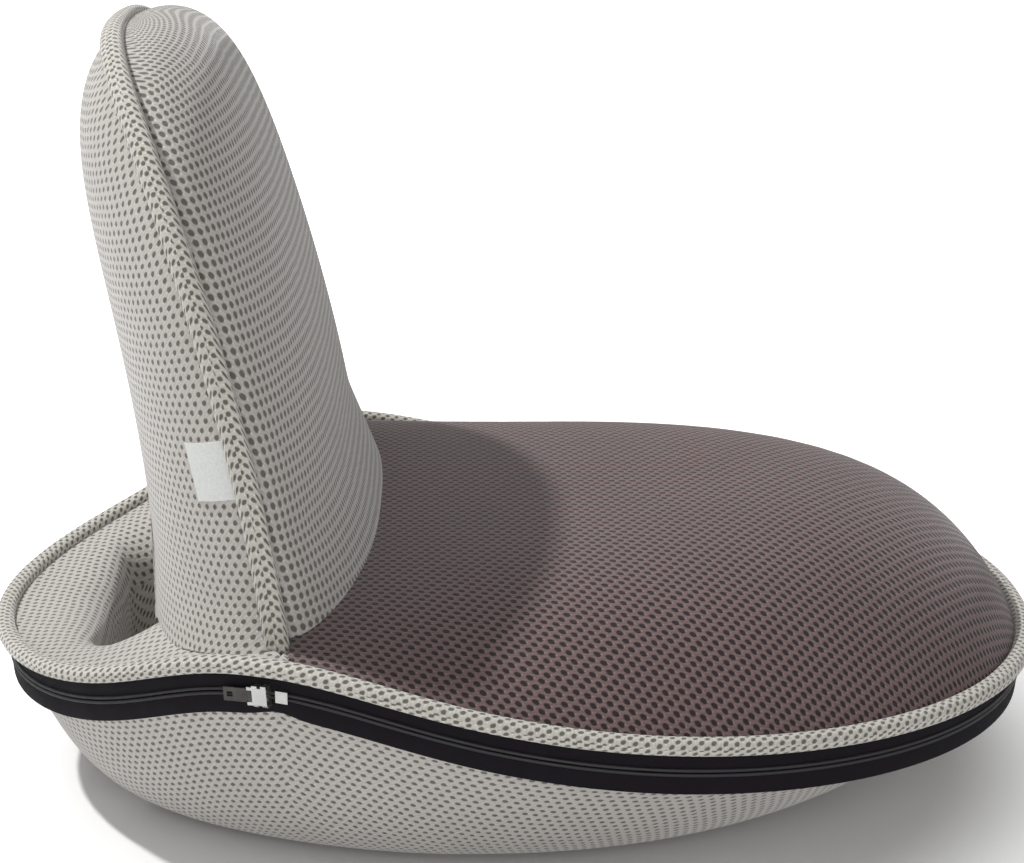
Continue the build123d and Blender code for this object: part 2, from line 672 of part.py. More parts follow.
def care_label():
    """A bare label sewn on behind the welt, on the sitter's right side."""
    _, _, lean = seam_place(LABEL_AT)
    near = WELT_BREADTH / 2 + GAP
    middle = seam_point(LABEL_AT, -near - LABEL_WIDTH / 2, -BACK_HALF_WIDTH)
    backwards = Vector(0, math.cos(lean), -math.sin(lean))
    window = block(
        Plane(origin=middle, x_dir=backwards, z_dir=(1, 0, 0)),
        (-LABEL_WIDTH / 2, LABEL_WIDTH / 2),
        (-LABEL_LENGTH / 2, LABEL_LENGTH / 2),
        (-BACK_HALF_WIDTH / 4, BACK_HALF_WIDTH / 4),
    )
    lift = GAP + LABEL_THICKNESS
    return keep_largest((back_shell(-lift) - back_shell(-GAP)) & window)


# ================================================================ zip slider
def zip_point(y):
    """The zip's middle on the sitter's right side, at a Y behind the widest place."""
    reach = SHELL_HALF_LENGTH - WIDEST_Y
    x = -SHELL_HALF_WIDTH * math.sqrt(1 - ((y - WIDEST_Y) / reach) ** 2)
    return Vector(x, y, rim_height(y) + ZIP_MIDDLE)


def zip_plane():
    """Origin on the zip under the slider, X along its travel to the rear, Z outwards."""
    start, end = zip_point(SLIDER_Y), zip_point(SLIDER_Y + SLIDER_TRAVEL)
    along = (end - start).normalized()
    outward = along.cross(Vector(0, 0, 1))
    if outward.X > 0:
        outward = -outward
    return Plane(origin=start, x_dir=along, z_dir=outward)


def zip_slider(grown_shell):
    """The slider's body over the coil, with two lugs and a pin for the pull tab."""
    plane = zip_plane()
    half, height = SLIDER_LENGTH / 2, SLIDER_HEIGHT / 2
    body = block(plane, (-half, half), (-height, height), (-TAPE_THICKNESS, SLIDER_DEPTH))
    long_edges = body.edges().filter_by(Axis(plane.origin, plane.x_dir)).sort_by(SortBy.LENGTH)
    body = chamfer(long_edges[-2:], SLIDER_CHAMFER)
    waist = SLIDER_LENGTH / 4
    for side in (-1, 1):
        low, high = sorted((side * SLIDER_HEIGHT, side * (height - WAIST_DEPTH)))
        body -= block(plane, (-waist / 2, waist / 2), (low, high), (-SLIDER_HEIGHT, SLIDER_HEIGHT))
    lug_low = EYE_HALF + LUG_CLEAR
    for side in (-1, 1):
        low, high = sorted((side * lug_low, side * (lug_low + LUG_THICKNESS)))
        lift = TAB_LIFT - LUG_HALF_HEIGHT, TAB_LIFT + LUG_HALF_HEIGHT
        body += block(plane, (half - LUG_THICKNESS, half + LUG_LENGTH), (low, high), lift)
    pin_half = lug_low + LUG_THICKNESS / 2
    pin_plane = Plane(origin=tab_axis(plane) - plane.y_dir * pin_half, z_dir=plane.y_dir)
    body += Solid.make_cylinder(TAB_PIN_RADIUS, 2 * pin_half, pin_plane)
    return keep_largest(body - grown_shell)


def tab_axis(plane):
    """The pull tab's hinge point, behind the slider's rear end."""
    return plane.from_local_coords(Vector(SLIDER_LENGTH / 2 + PIN_AT, 0, TAB_LIFT))


def pull_tab():
    """A flat tab with an eye round the slider's pin and a slot near its free end."""
    plane = zip_plane()
    eye_x = SLIDER_LENGTH / 2 + PIN_AT
    low, high = TAB_LIFT - TAB_THICKNESS / 2, TAB_LIFT + TAB_THICKNESS / 2
    # the wide part starts clear of the lugs' corners, however the tab is turned
    shoulder = eye_x + math.hypot(LUG_LENGTH - PIN_AT, LUG_HALF_HEIGHT) + LUG_CLEAR
    tab = block(plane, (eye_x, shoulder), (-EYE_HALF, EYE_HALF), (low, high))
    tab += block(plane, (shoulder, eye_x + TAB_LENGTH), (-TAB_WIDTH / 2, TAB_WIDTH / 2), (low, high))
    eye_plane = Plane(origin=tab_axis(plane) - plane.y_dir * EYE_HALF, z_dir=plane.y_dir)
    tab += Solid.make_cylinder(TAB_PIN_RADIUS + EYE_WALL, 2 * EYE_HALF, eye_plane)
    tab -= Solid.make_cylinder(TAB_PIN_RADIUS + RUNNING_FIT, 2 * EYE_HALF, eye_plane)
    middle = eye_x + TAB_LENGTH - SLOT_FROM_END
    length, width = TAB_SLOT
    slot = (middle - length / 2, middle + length / 2), (-width / 2, width / 2)
    tab -= block(plane, *slot, (low - TAB_THICKNESS, high + TAB_THICKNESS))
    return keep_largest(tab)


# ================================================================ the pieces
def build_frame():
    core = hoop_core()
    write("base_hoop_front", keep_largest(half_hoop(-1)))
    write("base_hoop_rear", keep_largest(half_hoop(1)))
    write("base_cross_tube", keep_largest(cross_tube() - core))
    rivets, pins = [], []
    for side, name in ((-1, "right"), (1, "left")):
        write(f"hinge_bracket_{name}", hinge_bracket(side, core + cross_tube(wall=None)))
        write(f"ratchet_arm_{name}", ratchet_arm(side))
        write(f"pawl_{name}", pawl(side))
        write(f"pawl_spring_{name}", pawl_spring(side))
        rivets.append(rivet(side, 0, 0, RIVET_RADIUS, RIVET_HEAD_RADIUS, RIVET_HEAD))
        head_radius = PAWL_PIN_RADIUS + PAWL_HEAD_OVER
        pins.append(rivet(side, PAWL_PIN_Y, PAWL_PIN_Z, PAWL_PIN_RADIUS, head_radius, PAWL_HEAD))
    write("pivot_rivets", Compound(children=rivets))
    write("pawl_pins", Compound(children=pins))


def turning_space(inset=0.0):
    """Room in the base for the backrest: round about the axis, and level behind the seat."""
    floor, start, end = RING_TOP_Z - inset, SEAT_SEAM_Y - inset, HINGE_Y + REST_DEPTH
    level = side_block([(start, floor), (end, floor), (end, FAR), (start, FAR)])
    return barrel(BARREL_CLEARANCE + inset) + (level & outline_prism(WALL_BESIDE_HINGE - inset))


def base_body(inset=0.0):
    """The base with its opening and the backrest's room, drawn in by inset."""
    return shell(inset) - grip_hole(inset) - turning_space(inset)


def build_base():
    skin = base_body() - base_body(FABRIC)
    beside = grip_hole(FABRIC)
    lining = skin & beside
    skin -= beside
    above = rim_slab(ZIP_TOP + TAPE_GAP / 2, FAR / 2)
    below = rim_slab(-FAR / 2, ZIP_BOTTOM - TAPE_GAP / 2)
    seam = SEAT_SEAM_Y
    front = side_block([(-FAR, -FAR), (seam, -FAR), (seam, FAR), (-FAR, FAR)])
    rear = side_block([(seam + GAP, -FAR), (FAR, -FAR), (FAR, FAR), (seam + GAP, FAR)])
    high = side_block([(-FAR, GRIP_SEAM_Z + GAP), (FAR, GRIP_SEAM_Z + GAP), (FAR, FAR), (-FAR, FAR)])
    low = side_block([(-FAR, GRIP_SEAM_Z), (FAR, GRIP_SEAM_Z), (FAR, -FAR), (-FAR, -FAR)])
    write("seat_cover", keep_largest(skin & above & front))
    write("ring_cover", keep_largest((skin & above & rear) + (lining & high)))
    write("bottom_cover", keep_largest((skin & below) + (lining & low)))

    split = FOAM_SPLIT_Z
    upper = side_block([(-FAR, split + GAP), (FAR, split + GAP), (FAR, FAR), (-FAR, FAR)])
    lower = side_block([(-FAR, split), (FAR, split), (FAR, -FAR), (-FAR, -FAR)])
    foam_space = base_body(FOAM_INSET)
    write("seat_foam", keep_largest(foam_space & upper & front))
    write("ring_foam", keep_largest(foam_space & upper & rear))
    tunnels = half_hoop(-1, TUBE_RADIUS + GAP, None) + half_hoop(1, TUBE_RADIUS + GAP, None)
    tunnels += cross_tube(TUBE_RADIUS + GAP, None)
    base_foam = (foam_space & lower) - tunnels
    for side in (-1, 1):
        place = Pos(side * HINGE_X, HINGE_Y + BRACKET_OFFSET, (split + FRAME_Z) / 2)
        size = 2 * (BRACKET_HALF + RIVET_HEAD), BRACKET_LENGTH + 2 * POCKET_SPARE, split - FRAME_Z
        base_foam -= place * Box(*size)
    write("base_foam", keep_largest(base_foam))


def build_rim():
    piping = (shell(-PIPING_WIDTH) - shell(-GAP / 2)) & rim_slab(ZIP_TOP + TAPE_GAP / 2, PIPING_HEIGHT / 2)
    write("rim_piping", keep_largest(piping - outline_prism(PIPING_ROOT)))
    tape = shell(TAPE_GAP) - shell(TAPE_GAP + TAPE_THICKNESS)
    split = TAPE_GAP / 2
    upper = rim_slab(ZIP_MIDDLE + split, ZIP_TOP - split)
    lower = rim_slab(ZIP_BOTTOM + split, ZIP_MIDDLE - split)
    write("zip_tape_upper", keep_largest(tape & upper))
    write("zip_tape_lower", keep_largest(tape & lower))
    coil = shell(-COIL_PROUD) - shell()
    upper = rim_slab(ZIP_MIDDLE + split, ZIP_MIDDLE + COIL_HEIGHT / 2)
    lower = rim_slab(ZIP_MIDDLE - COIL_HEIGHT / 2, ZIP_MIDDLE - split)
    write("zip_coil_upper", keep_largest(coil & upper))
    write("zip_coil_lower", keep_largest(coil & lower))
    stop = shell(-COIL_PROUD - STOP_THICKNESS) - shell(-COIL_PROUD - TAPE_GAP)
    stop &= rim_slab(ZIP_MIDDLE - COIL_HEIGHT / 2, ZIP_MIDDLE + COIL_HEIGHT / 2)
    rear = SLIDER_Y - SLIDER_LENGTH / 2 - STOP_CLEAR
    stop &= Pos(-FAR / 2, rear - STOP_LENGTH / 2, FAR / 2) * Box(FAR, STOP_LENGTH, FAR)
    write("zip_end_stop", keep_largest(stop))
    write("zip_slider", zip_slider(shell(-COIL_PROUD - SLIDER_CLEAR)))
    write("zip_pull_tab", pull_tab())


def build_backrest():
    region = back_region()
    slots = hinge_slot(-1) + hinge_slot(1)
    skin = ((back_shell() - back_shell(FABRIC)) & region) - slots
    hoop_space = back_hoop(TUBE_RADIUS + GAP, None) + arm_space(-1) + arm_space(1)
    for along in (LOWER_BAR_AT, UPPER_BAR_AT):
        hoop_space += back_bar(along, CROSS_BAR_RADIUS + GAP)
    filling = (back_shell(FOAM_INSET) & region) - slots - hoop_space
    for is_front, name in ((True, "front"), (False, "rear")):
        half = seam_block(is_front, GAP / 2 if is_front else -GAP / 2)
        write(f"back_cover_{name}", keep_largest(skin & half))
        write(f"back_foam_{name}", keep_largest(filling & half))
    arms = ratchet_arm(-1) + ratchet_arm(1)
    write("back_hoop", keep_largest(back_hoop() - arms))
    core = back_hoop(wall=None)
    write("back_bar_lower", keep_largest(back_bar(LOWER_BAR_AT) - core))
    write("back_bar_upper", keep_largest(back_bar(UPPER_BAR_AT) - core))
    write("back_welt", welt())
    write("care_label", care_label())


os.makedirs("parts", exist_ok=True)
build_frame()
build_base()
build_rim()
build_backrest()
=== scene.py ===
"""The folding floor chair's looks: padded mesh covers, piping, zip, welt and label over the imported
frame. Metres, in the part's own frame: +Z up, the floor at Z = 0, a sitter faces -Y."""

import json
import math

import bmesh
import bpy
import numpy as np
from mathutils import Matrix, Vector


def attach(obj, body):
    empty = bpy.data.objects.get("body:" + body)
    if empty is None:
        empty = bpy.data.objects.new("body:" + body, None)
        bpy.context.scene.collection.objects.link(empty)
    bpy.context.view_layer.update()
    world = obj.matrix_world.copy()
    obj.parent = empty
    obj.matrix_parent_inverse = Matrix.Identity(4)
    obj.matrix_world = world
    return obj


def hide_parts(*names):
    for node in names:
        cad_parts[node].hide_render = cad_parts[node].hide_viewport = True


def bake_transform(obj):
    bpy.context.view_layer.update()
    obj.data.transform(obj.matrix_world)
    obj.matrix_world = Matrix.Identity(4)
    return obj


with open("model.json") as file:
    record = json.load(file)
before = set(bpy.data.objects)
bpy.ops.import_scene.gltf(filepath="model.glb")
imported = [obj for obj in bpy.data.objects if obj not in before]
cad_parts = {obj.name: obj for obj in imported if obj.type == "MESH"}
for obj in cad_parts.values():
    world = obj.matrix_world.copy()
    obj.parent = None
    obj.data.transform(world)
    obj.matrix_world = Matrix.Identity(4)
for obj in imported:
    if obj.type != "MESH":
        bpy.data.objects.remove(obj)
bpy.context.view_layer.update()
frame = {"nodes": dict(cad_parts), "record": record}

# ---------------------------------------------------------------- sizes, as in the part's source
HALF_WIDTH = 0.240
HALF_LENGTH = 0.279
WIDEST_Y = 0.006
FRONT_FULLNESS = 2.2
REAR_FULLNESS = 2.0
BULGE = 0.0016  # of the rim past the outline
HINGE_Y = 0.118
HINGE_Z = 0.118
RIM_END_HEIGHT = 0.074
HINGE_LIFT = 0.0545
LIFT_FRONT = (0.136, 1.8)  # spread, power
LIFT_REAR = (0.097, 2.6)
BOWL_CENTRE_Y = 0.086
BOWL_STEEPNESS = (7.8, 11.5)  # at the front end, at the rear end
BOWL_ROUNDING = 2.34
BOWL_GATHER = 0.88  # its weave is this share as wide as the rim's length
BOWL_TUCK = 0.0015  # its upper edge goes this far up under the tape
CROWN_HEIGHT = 0.150
CROWN_SLOPE = 0.08
CROWN_POWER = 4.97
CROWN_SHARPNESS = 1.14
FRONT_EDGE = 0.3  # how much steeper the crown drops to the rim at the front end
RING_FALL = 0.0265
RING_FALL_LENGTH = 0.100
RING_FALL_POWER = 1.6
SEAT_REAR_Y = 0.113
SEAT_BASE_Z = 0.083
SEAT_FLAT_ROW = 25  # the seat's weave lies flat inside this row of its grid
SEAT_SEAM_HALF_WIDTH = 0.2195

PIPING_WIDTH = 0.008
PIPING_HEIGHT = 0.0092
PIPING_SEWN_IN = 0.001  # its middle lies this far in from the rim
PIPING_FULLER = 0.0012  # padding past its own half width
TAPE_THICKNESS = 0.0012
TAPE_LEAN = 0.0012  # the upper tape's top edge stands out under the piping
TAPE_BOW = 0.0005
ZIP_TOP = -0.0045  # against the rim's height
ZIP_BOTTOM = -0.0245
PUCKER_Y = 0.118  # of the gathered place under the parked slider
PUCKER_HEIGHT = 0.0028
PUCKER_SPREAD = 0.010
PUCKER_FOLD = 0.0075

FLOOR_ZONE = 0.03  # the bowl's bottom lies below this height
EDGE_REACH = 0.0026  # its points this near the opening's outline are drawn onto it

GRIP_Y = 0.203
THROAT = (0.078, 0.021)  # half width and half depth of the opening where it is narrowest
THROAT_Z = 0.050
FOOT = (0.091, 0.0295)  # at the floor
MOUTH = (0.082, 0.022)  # where the ring's soft roll turns down into it
ROLL_DROP = 0.034  # how far the roll falls into the opening
ROLL_REACH = 0.056  # how wide the roll is where it has room
ROLL_SHARE = 0.80  # of the way to the rim where it hasn't
RING_LEVEL = 0.1165  # of the ring under the backrest
RING_EDGE_IN = 0.002  # the ring's edge lies this far inside the rim
RING_EDGE_DROP = 0.003  # and this far below it

BACK_LENGTH = 0.308
BACK_HALF_WIDTH = 0.197
BACK_LEAN = math.radians(16.2)
BACK_BOW = 0.014
BACK_ARCH = 2.6
FRONT_DEPTH = 0.035
FRONT_TOP_GAIN = 0.022
FRONT_HIP_GAIN = 0.018
FRONT_HIP_SHARE = 0.20
FRONT_HIP_POWER = 1.1
REAR_DEPTHS = (0.077, 0.053)  # at the hinge, at the top
TOP_ROUNDING = 8.0
WELT_TOP_BACK = 0.006  # how far the welt leans back at the top of the arch
SECTION_WIDTH_POWER = 2.6
SECTION_DEPTH_POWER = 1.8
WELT_BREADTH = 0.0125
WELT_PROUD = 0.006
WELT_SEWN_IN = 0.003
FOOT_HALF_WIDTH = 0.2065  # of the line where the rear panel meets the ring
FOOT_FRONT_Y = 0.121
FOOT_REACH = 0.072
SEAM_PULL = 0.0045
SEAM_PULL_REACH = 0.010
REAR_START = 0.13  # share of the backrest's height where the rear panel's foot begins
FOOT_ROWS = 15
TUCK_HALF_WIDTH = 0.115  # of the rear panel's middle, which tucks into the opening
TUCK_FADE = 0.075
TUCK_Z = 0.088
TUCK_BACK = 0.004  # how much further back the tucked edge lies
FOOT_LEVEL = 0.131  # the foot's edge lies no higher than this on the ring
FOOT_SUNK = 0.0012  # and is pressed this far into it

SEAM_RADIUS = (BACK_LENGTH**2 / 4 + BACK_BOW**2) / (2 * BACK_BOW)
SEAM_START = BACK_LEAN - math.asin(BACK_LENGTH / 2 / SEAM_RADIUS)


# ================================================================ base forms
def outline(angle, inset=0.0):
    """The base's outline from above. Angle 0 is +X, a quarter turn is the rear."""
    sine, cosine = np.sin(angle), np.cos(angle)
    fullness = np.where(sine < 0, FRONT_FULLNESS, REAR_FULLNESS)
    reach = np.where(sine < 0, HALF_LENGTH + WIDEST_Y, HALF_LENGTH - WIDEST_Y) - inset
    x = (HALF_WIDTH - inset) * np.sign(cosine) * np.abs(cosine) ** (2 / fullness)
    y = WIDEST_Y + reach * np.sign(sine) * np.abs(sine) ** (2 / fullness)
    return x, y


def even_angles(count):
    """Angles whose outline points are the same distance apart."""
    fine = np.linspace(0, 2 * math.pi, 8001)
    x, y = outline(fine)
    run = np.concatenate([[0], np.cumsum(np.hypot(np.diff(x), np.diff(y)))])
    return np.interp(np.linspace(0, run[-1], count + 1)[:-1], run, fine), run[-1]


def rim_height(y):
    distance = np.abs(y - HINGE_Y)
    front = (distance / LIFT_FRONT[0]) ** LIFT_FRONT[1]
    rear = (distance / LIFT_REAR[0]) ** LIFT_REAR[1]
    return RIM_END_HEIGHT + HINGE_LIFT / (1 + np.where(y < HINGE_Y, front, rear))


def rays(centre_y):
    """Distance to the outline by direction, about a centre on the Y axis."""
    fine = np.linspace(0, 2 * math.pi, 8001)
    x, y = outline(fine)
    direction = np.unwrap(np.arctan2(y - centre_y, x))
    return direction, np.hypot(x, y - centre_y), fine


BOWL_RAYS = rays(BOWL_CENTRE_Y)
CROWN_RAYS = rays(WIDEST_Y)


def share_of(x, y, centre_y, table):
    """How far towards the outline a point lies, and the outline's angle there."""
    direction = np.arctan2(y - centre_y, x)
    direction = np.where(direction < table[0][0], direction + 2 * math.pi, direction)
    far = np.interp(direction, table[0], table[1])
    return np.hypot(x, y - centre_y) / far, np.interp(direction, table[0], table[2])


def bowl_height(x, y):
    share, angle = share_of(x, y, BOWL_CENTRE_Y, BOWL_RAYS)
    rim_y = outline(angle)[1]
    to_rear = (rim_y + HALF_LENGTH) / (2 * HALF_LENGTH)
    steepness = BOWL_STEEPNESS[0] + (BOWL_STEEPNESS[1] - BOWL_STEEPNESS[0]) * to_rear
    rise = 1 - (1 - np.clip(share, 0, 1) ** steepness) ** BOWL_ROUNDING
    return rise * (rim_height(rim_y) + ZIP_BOTTOM)


def crown_height(x, y):
    share, angle = share_of(x, y, WIDEST_Y, CROWN_RAYS)
    rim_y = outline(angle)[1]
    to_front = np.clip((WIDEST_Y - rim_y) / (HALF_LENGTH + WIDEST_Y), 0, 1)
    blend = (1 - np.clip(share, 0, 1) ** CROWN_POWER) ** (CROWN_SHARPNESS - FRONT_EDGE * to_front**4)
    rim = rim_height(rim_y)
    fall = RING_FALL * (np.maximum(y - HINGE_Y, 0) / RING_FALL_LENGTH) ** RING_FALL_POWER
    plateau = CROWN_HEIGHT - CROWN_SLOPE * np.minimum(y, HINGE_Y) - fall
    return rim * (1 - blend) + plateau * blend


def stadium(angle, half_width, half_depth):
    """Distance from the opening's middle to a long rounded outline, by direction."""
    c, s = np.cos(angle), np.sin(angle)
    straight = half_width - half_depth
    along = straight * np.abs(c)
    reach = along + np.sqrt(np.maximum(half_depth**2 - (straight * s) ** 2, 0))
    to_side = half_depth / np.maximum(np.abs(s), 1e-9)
    return np.where(np.abs(c) * to_side <= straight, to_side, reach)


def opening_distance(x, y, half_width, half_depth):
    """How far outside the opening's outline a point lies, below 0 inside it."""
    over = np.maximum(np.abs(x) - (half_width - half_depth), 0)
    return np.hypot(over, y - GRIP_Y) - half_depth


# ================================================================ backrest forms
def seam_place(along):
    lean = SEAM_START + along / SEAM_RADIUS
    y = HINGE_Y + SEAM_RADIUS * (math.cos(SEAM_START) - np.cos(lean))
    z = HINGE_Z + SEAM_RADIUS * (np.sin(lean) - math.sin(SEAM_START))
    return y, z, lean


def seam_point(along, forward, x):
    y, z, lean = seam_place(along)
    return np.stack(np.broadcast_arrays(x, y - forward * np.cos(lean), z + forward * np.sin(lean)), -1)


def back_size(share):
    upper = np.clip(share, 0, 1)
    arch = (1 - upper**BACK_ARCH) ** (1 / BACK_ARCH)
    rounding = np.sqrt(1 - upper**TOP_ROUNDING)
    hip = np.maximum(1 - upper / FRONT_HIP_SHARE, 0) ** FRONT_HIP_POWER
    front = (FRONT_DEPTH + FRONT_TOP_GAIN * upper**4 + FRONT_HIP_GAIN * hip) * rounding
    rear = (REAR_DEPTHS[0] + (REAR_DEPTHS[1] - REAR_DEPTHS[0]) * upper) * rounding
    return BACK_HALF_WIDTH * arch, front, rear


# ================================================================ mesh helpers
def surface(name, points, uv, wrap=False, flip=False):
    """A mesh from a grid of points (rows, columns, 3), with a map in metres for its weave."""
    rows, columns = points.shape[:2]
    last = columns if wrap else columns - 1
    faces, corners = [], []
    for r in range(rows - 1):
        for c in range(last):
            d = (c + 1) % columns
            quad = [r * columns + c, r * columns + d, (r + 1) * columns + d, (r + 1) * columns + c]
            marks = [(r, c), (r, c + 1), (r + 1, c + 1), (r + 1, c)]
            if flip:
                quad.reverse()
                marks.reverse()
            faces.append(quad)
            corners += marks
    mesh = bpy.data.meshes.new(name)
    mesh.from_pydata(points.reshape(-1, 3).tolist(), [], faces)
    layer = mesh.uv_layers.new(name="weave")
    marks = np.array(corners)
    layer.data.foreach_set("uv", uv[marks[:, 0], marks[:, 1]].astype(np.float32).ravel())
    mesh.polygons.foreach_set("use_smooth", [True] * len(faces))
    obj = bpy.data.objects.new(name, mesh)
    bpy.context.scene.collection.objects.link(obj)
    return obj


def edit(obj, work):
    """Runs work on the object's bmesh."""
    bm = bmesh.new()
    bm.from_mesh(obj.data)
    work(bm)
    bm.to_mesh(obj.data)
    bm.free()
    obj.data.update()


def weld(obj, distance=0.0003):
    edit(obj, lambda bm: bmesh.ops.remove_doubles(bm, verts=bm.verts, dist=distance))


def fill_holes(obj, sides=0, below=9.0):
    """Closes the open edge loops that lie below a height."""
    def work(bm):
        rim = [e for e in bm.edges if e.is_boundary and max(v.co.z for v in e.verts) < below]
        bmesh.ops.holes_fill(bm, edges=rim, sides=sides)
        bmesh.ops.triangulate(bm, faces=[f for f in bm.faces if len(f.verts) > 4])

    edit(obj, work)


def cut_behind(obj, y):
    """Cuts off what lies behind a Y, and closes the cut."""
    def work(bm):
        everything = bm.verts[:] + bm.edges[:] + bm.faces[:]
        bmesh.ops.bisect_plane(bm, geom=everything, plane_co=(0, y, 0), plane_no=(0, 1, 0), clear_outer=True)
    edit(obj, work)
    fill_holes(obj)


def run_length(points, axis):
    """Distance along a grid's rows (axis 0) or columns (axis 1) from its first point."""
    step = np.linalg.norm(np.diff(points, axis=axis), axis=-1)
    zero = np.zeros_like(np.take(step, [0], axis=axis))
    return np.concatenate([zero, np.cumsum(step, axis=axis)], axis=axis)


# ================================================================ materials
def node_tree(name):
    material = bpy.data.materials.new(name)
    material.use_nodes = True
    tree = material.node_tree
    tree.nodes.clear()
    output = tree.nodes.new("ShaderNodeOutputMaterial")
    shader = tree.nodes.new("ShaderNodeBsdfPrincipled")
    tree.links.new(shader.outputs[0], output.inputs[0])
    return material, tree, shader


def math_node(tree, operation, a, b=None, c=None, clamp=False):
    node = tree.nodes.new("ShaderNodeMath")
    node.operation = operation
    node.use_clamp = clamp
    for socket, value in zip(node.inputs, (a, b, c)):
        if value is None:
            continue
        if isinstance(value, (int, float)):
            socket.default_value = value
        else:
            tree.links.new(value, socket)
    return node.outputs[0]


def ramp(tree, value, low, high, out_low=0.0, out_high=1.0):
    node = tree.nodes.new("ShaderNodeMapRange")
    node.interpolation_type = "SMOOTHSTEP"
    node.inputs["From Min"].default_value = low
    node.inputs["From Max"].default_value = high
    node.inputs["To Min"].default_value = out_low
    node.inputs["To Max"].default_value = out_high
    tree.links.new(value, node.inputs["Value"])
    return node.outputs[0]


def mix_colour(tree, factor, a, b):
    node = tree.nodes.new("ShaderNodeMix")
    node.data_type = "RGBA"
    for socket, value in ((node.inputs[0], factor), (node.inputs[6], a), (node.inputs[7], b)):
        if isinstance(value, tuple):
            socket.default_value = (*value, 1)
        elif isinstance(value, float):
            socket.default_value = value
        else:
            tree.links.new(value, socket)
    return node.outputs[2]


def noise(tree, vector, scale, detail=2.0):
    node = tree.nodes.new("ShaderNodeTexNoise")
    node.inputs["Scale"].default_value = scale
    node.inputs["Detail"].default_value = detail
    tree.links.new(vector, node.inputs["Vector"])
    return node.outputs["Fac"]


def spacer_mesh(
    name, yarn, shade, hole, pitch, turn=0.0, hole_size=0.27, oval=1.0, stagger=False, sheen=0.4
):
    """Knitted spacer mesh: round holes on a lattice, darker in them for the lower layer seen through them
    and for painted shade inside each hole, pale yarn between them, and a painted glint at one side
    of each hole. Pitch is (across, along) in metres."""
    material, tree, shader = node_tree(name)
    links, nodes = tree.links, tree.nodes
    place = nodes.new("ShaderNodeUVMap")
    place.uv_map = "weave"
    wobble = nodes.new("ShaderNodeTexNoise")
    wobble.inputs["Scale"].default_value = 60.0
    wobble.inputs["Detail"].default_value = 1.0
    links.new(place.outputs[0], wobble.inputs["Vector"])
    drift = nodes.new("ShaderNodeVectorMath")
    drift.operation = "MULTIPLY_ADD"
    links.new(wobble.outputs["Color"], drift.inputs[0])
    drift.inputs[1].default_value = (0.0016, 0.0016, 0)
    links.new(place.outputs[0], drift.inputs[2])
    turned = nodes.new("ShaderNodeMapping")
    turned.inputs["Rotation"].default_value = (0, 0, turn)
    links.new(drift.outputs[0], turned.inputs["Vector"])
    split = nodes.new("ShaderNodeSeparateXYZ")
    links.new(turned.outputs[0], split.inputs[0])
    u = math_node(tree, "DIVIDE", split.outputs[0], pitch[0])
    v = math_node(tree, "DIVIDE", split.outputs[1], pitch[1])
    if stagger:
        row = math_node(tree, "FLOOR", v)
        half = math_node(tree, "MULTIPLY", math_node(tree, "FLOORED_MODULO", row, 2.0), 0.5)
        u = math_node(tree, "ADD", u, half)
    fu = math_node(tree, "SUBTRACT", math_node(tree, "FRACT", u), 0.5)
    fv = math_node(tree, "SUBTRACT", math_node(tree, "FRACT", v), 0.5)
    across = math_node(tree, "MULTIPLY", fu, pitch[0] / min(pitch))
    along = math_node(tree, "MULTIPLY", fv, pitch[1] / min(pitch) / oval)
    radius = math_node(
        tree, "SQRT", math_node(tree, "ADD", math_node(tree, "MULTIPLY", across, across),
                                math_node(tree, "MULTIPLY", along, along))
    )
    spread = noise(tree, place.outputs[0], 900.0, 1.0)
    radius = math_node(tree, "ADD", radius, math_node(tree, "MULTIPLY_ADD", spread, 0.10, -0.05))
    solid = ramp(tree, radius, hole_size - 0.08, hole_size + 0.09)

    # a painted glint: a lighter spot of yarn colour at one side of each hole stands in for a highlight, and
    # the yarn is a little glossier there
    side_u = math_node(tree, "SUBTRACT", across, 0.30)
    side_v = math_node(tree, "ADD", along, 0.24)
    glint = math_node(
        tree, "SQRT", math_node(tree, "ADD", math_node(tree, "MULTIPLY", side_u, side_u),
                                math_node(tree, "MULTIPLY", side_v, side_v))
    )
    glint = ramp(tree, glint, 0.05, 0.17, 1.0, 0.0)
    yarns = nodes.new("ShaderNodeTexWave")
    yarns.wave_type = "BANDS"
    yarns.bands_direction = "DIAGONAL"
    yarns.inputs["Scale"].default_value = 0.9 / min(pitch)
    yarns.inputs["Distortion"].default_value = 3.0
    yarns.inputs["Detail"].default_value = 1.0
    links.new(turned.outputs[0], yarns.inputs["Vector"])
    broad = noise(tree, place.outputs[0], 9.0, 3.0)
    cloth = mix_colour(tree, math_node(tree, "MULTIPLY", yarns.outputs["Fac"], 0.45), yarn, shade)
    cloth = mix_colour(tree, ramp(tree, broad, 0.35, 0.75, 0.0, 0.30), cloth, shade)
    # the painted glint's colour: the yarn lightened to stand in for a highlight
    painted_glint_colour = tuple(min(1.0, channel * 1.22 + 0.04) for channel in yarn)
    cloth = mix_colour(tree, math_node(tree, "MULTIPLY", glint, 0.65), cloth, painted_glint_colour)
    # the holes take the hole colour: the lower layer with painted shade inside them
    colour = mix_colour(tree, solid, hole, cloth)
    links.new(colour, shader.inputs["Base Color"])

    cloth_rise = math_node(tree, "MULTIPLY", solid, 0.88)
    rise = math_node(tree, "MULTIPLY_ADD", yarns.outputs["Fac"], 0.12, cloth_rise)
    bump = nodes.new("ShaderNodeBump")
    bump.inputs["Strength"].default_value = 0.55
    bump.inputs["Distance"].default_value = 0.0011
    links.new(rise, bump.inputs["Height"])
    links.new(bump.outputs[0], shader.inputs["Normal"])
    links.new(ramp(tree, glint, 0.0, 1.0, 0.82, 0.55), shader.inputs["Roughness"])
    shader.inputs["Sheen Weight"].default_value = sheen
    shader.inputs["Sheen Roughness"].default_value = 0.45
    shader.inputs["Specular IOR Level"].default_value = 0.25
    return material


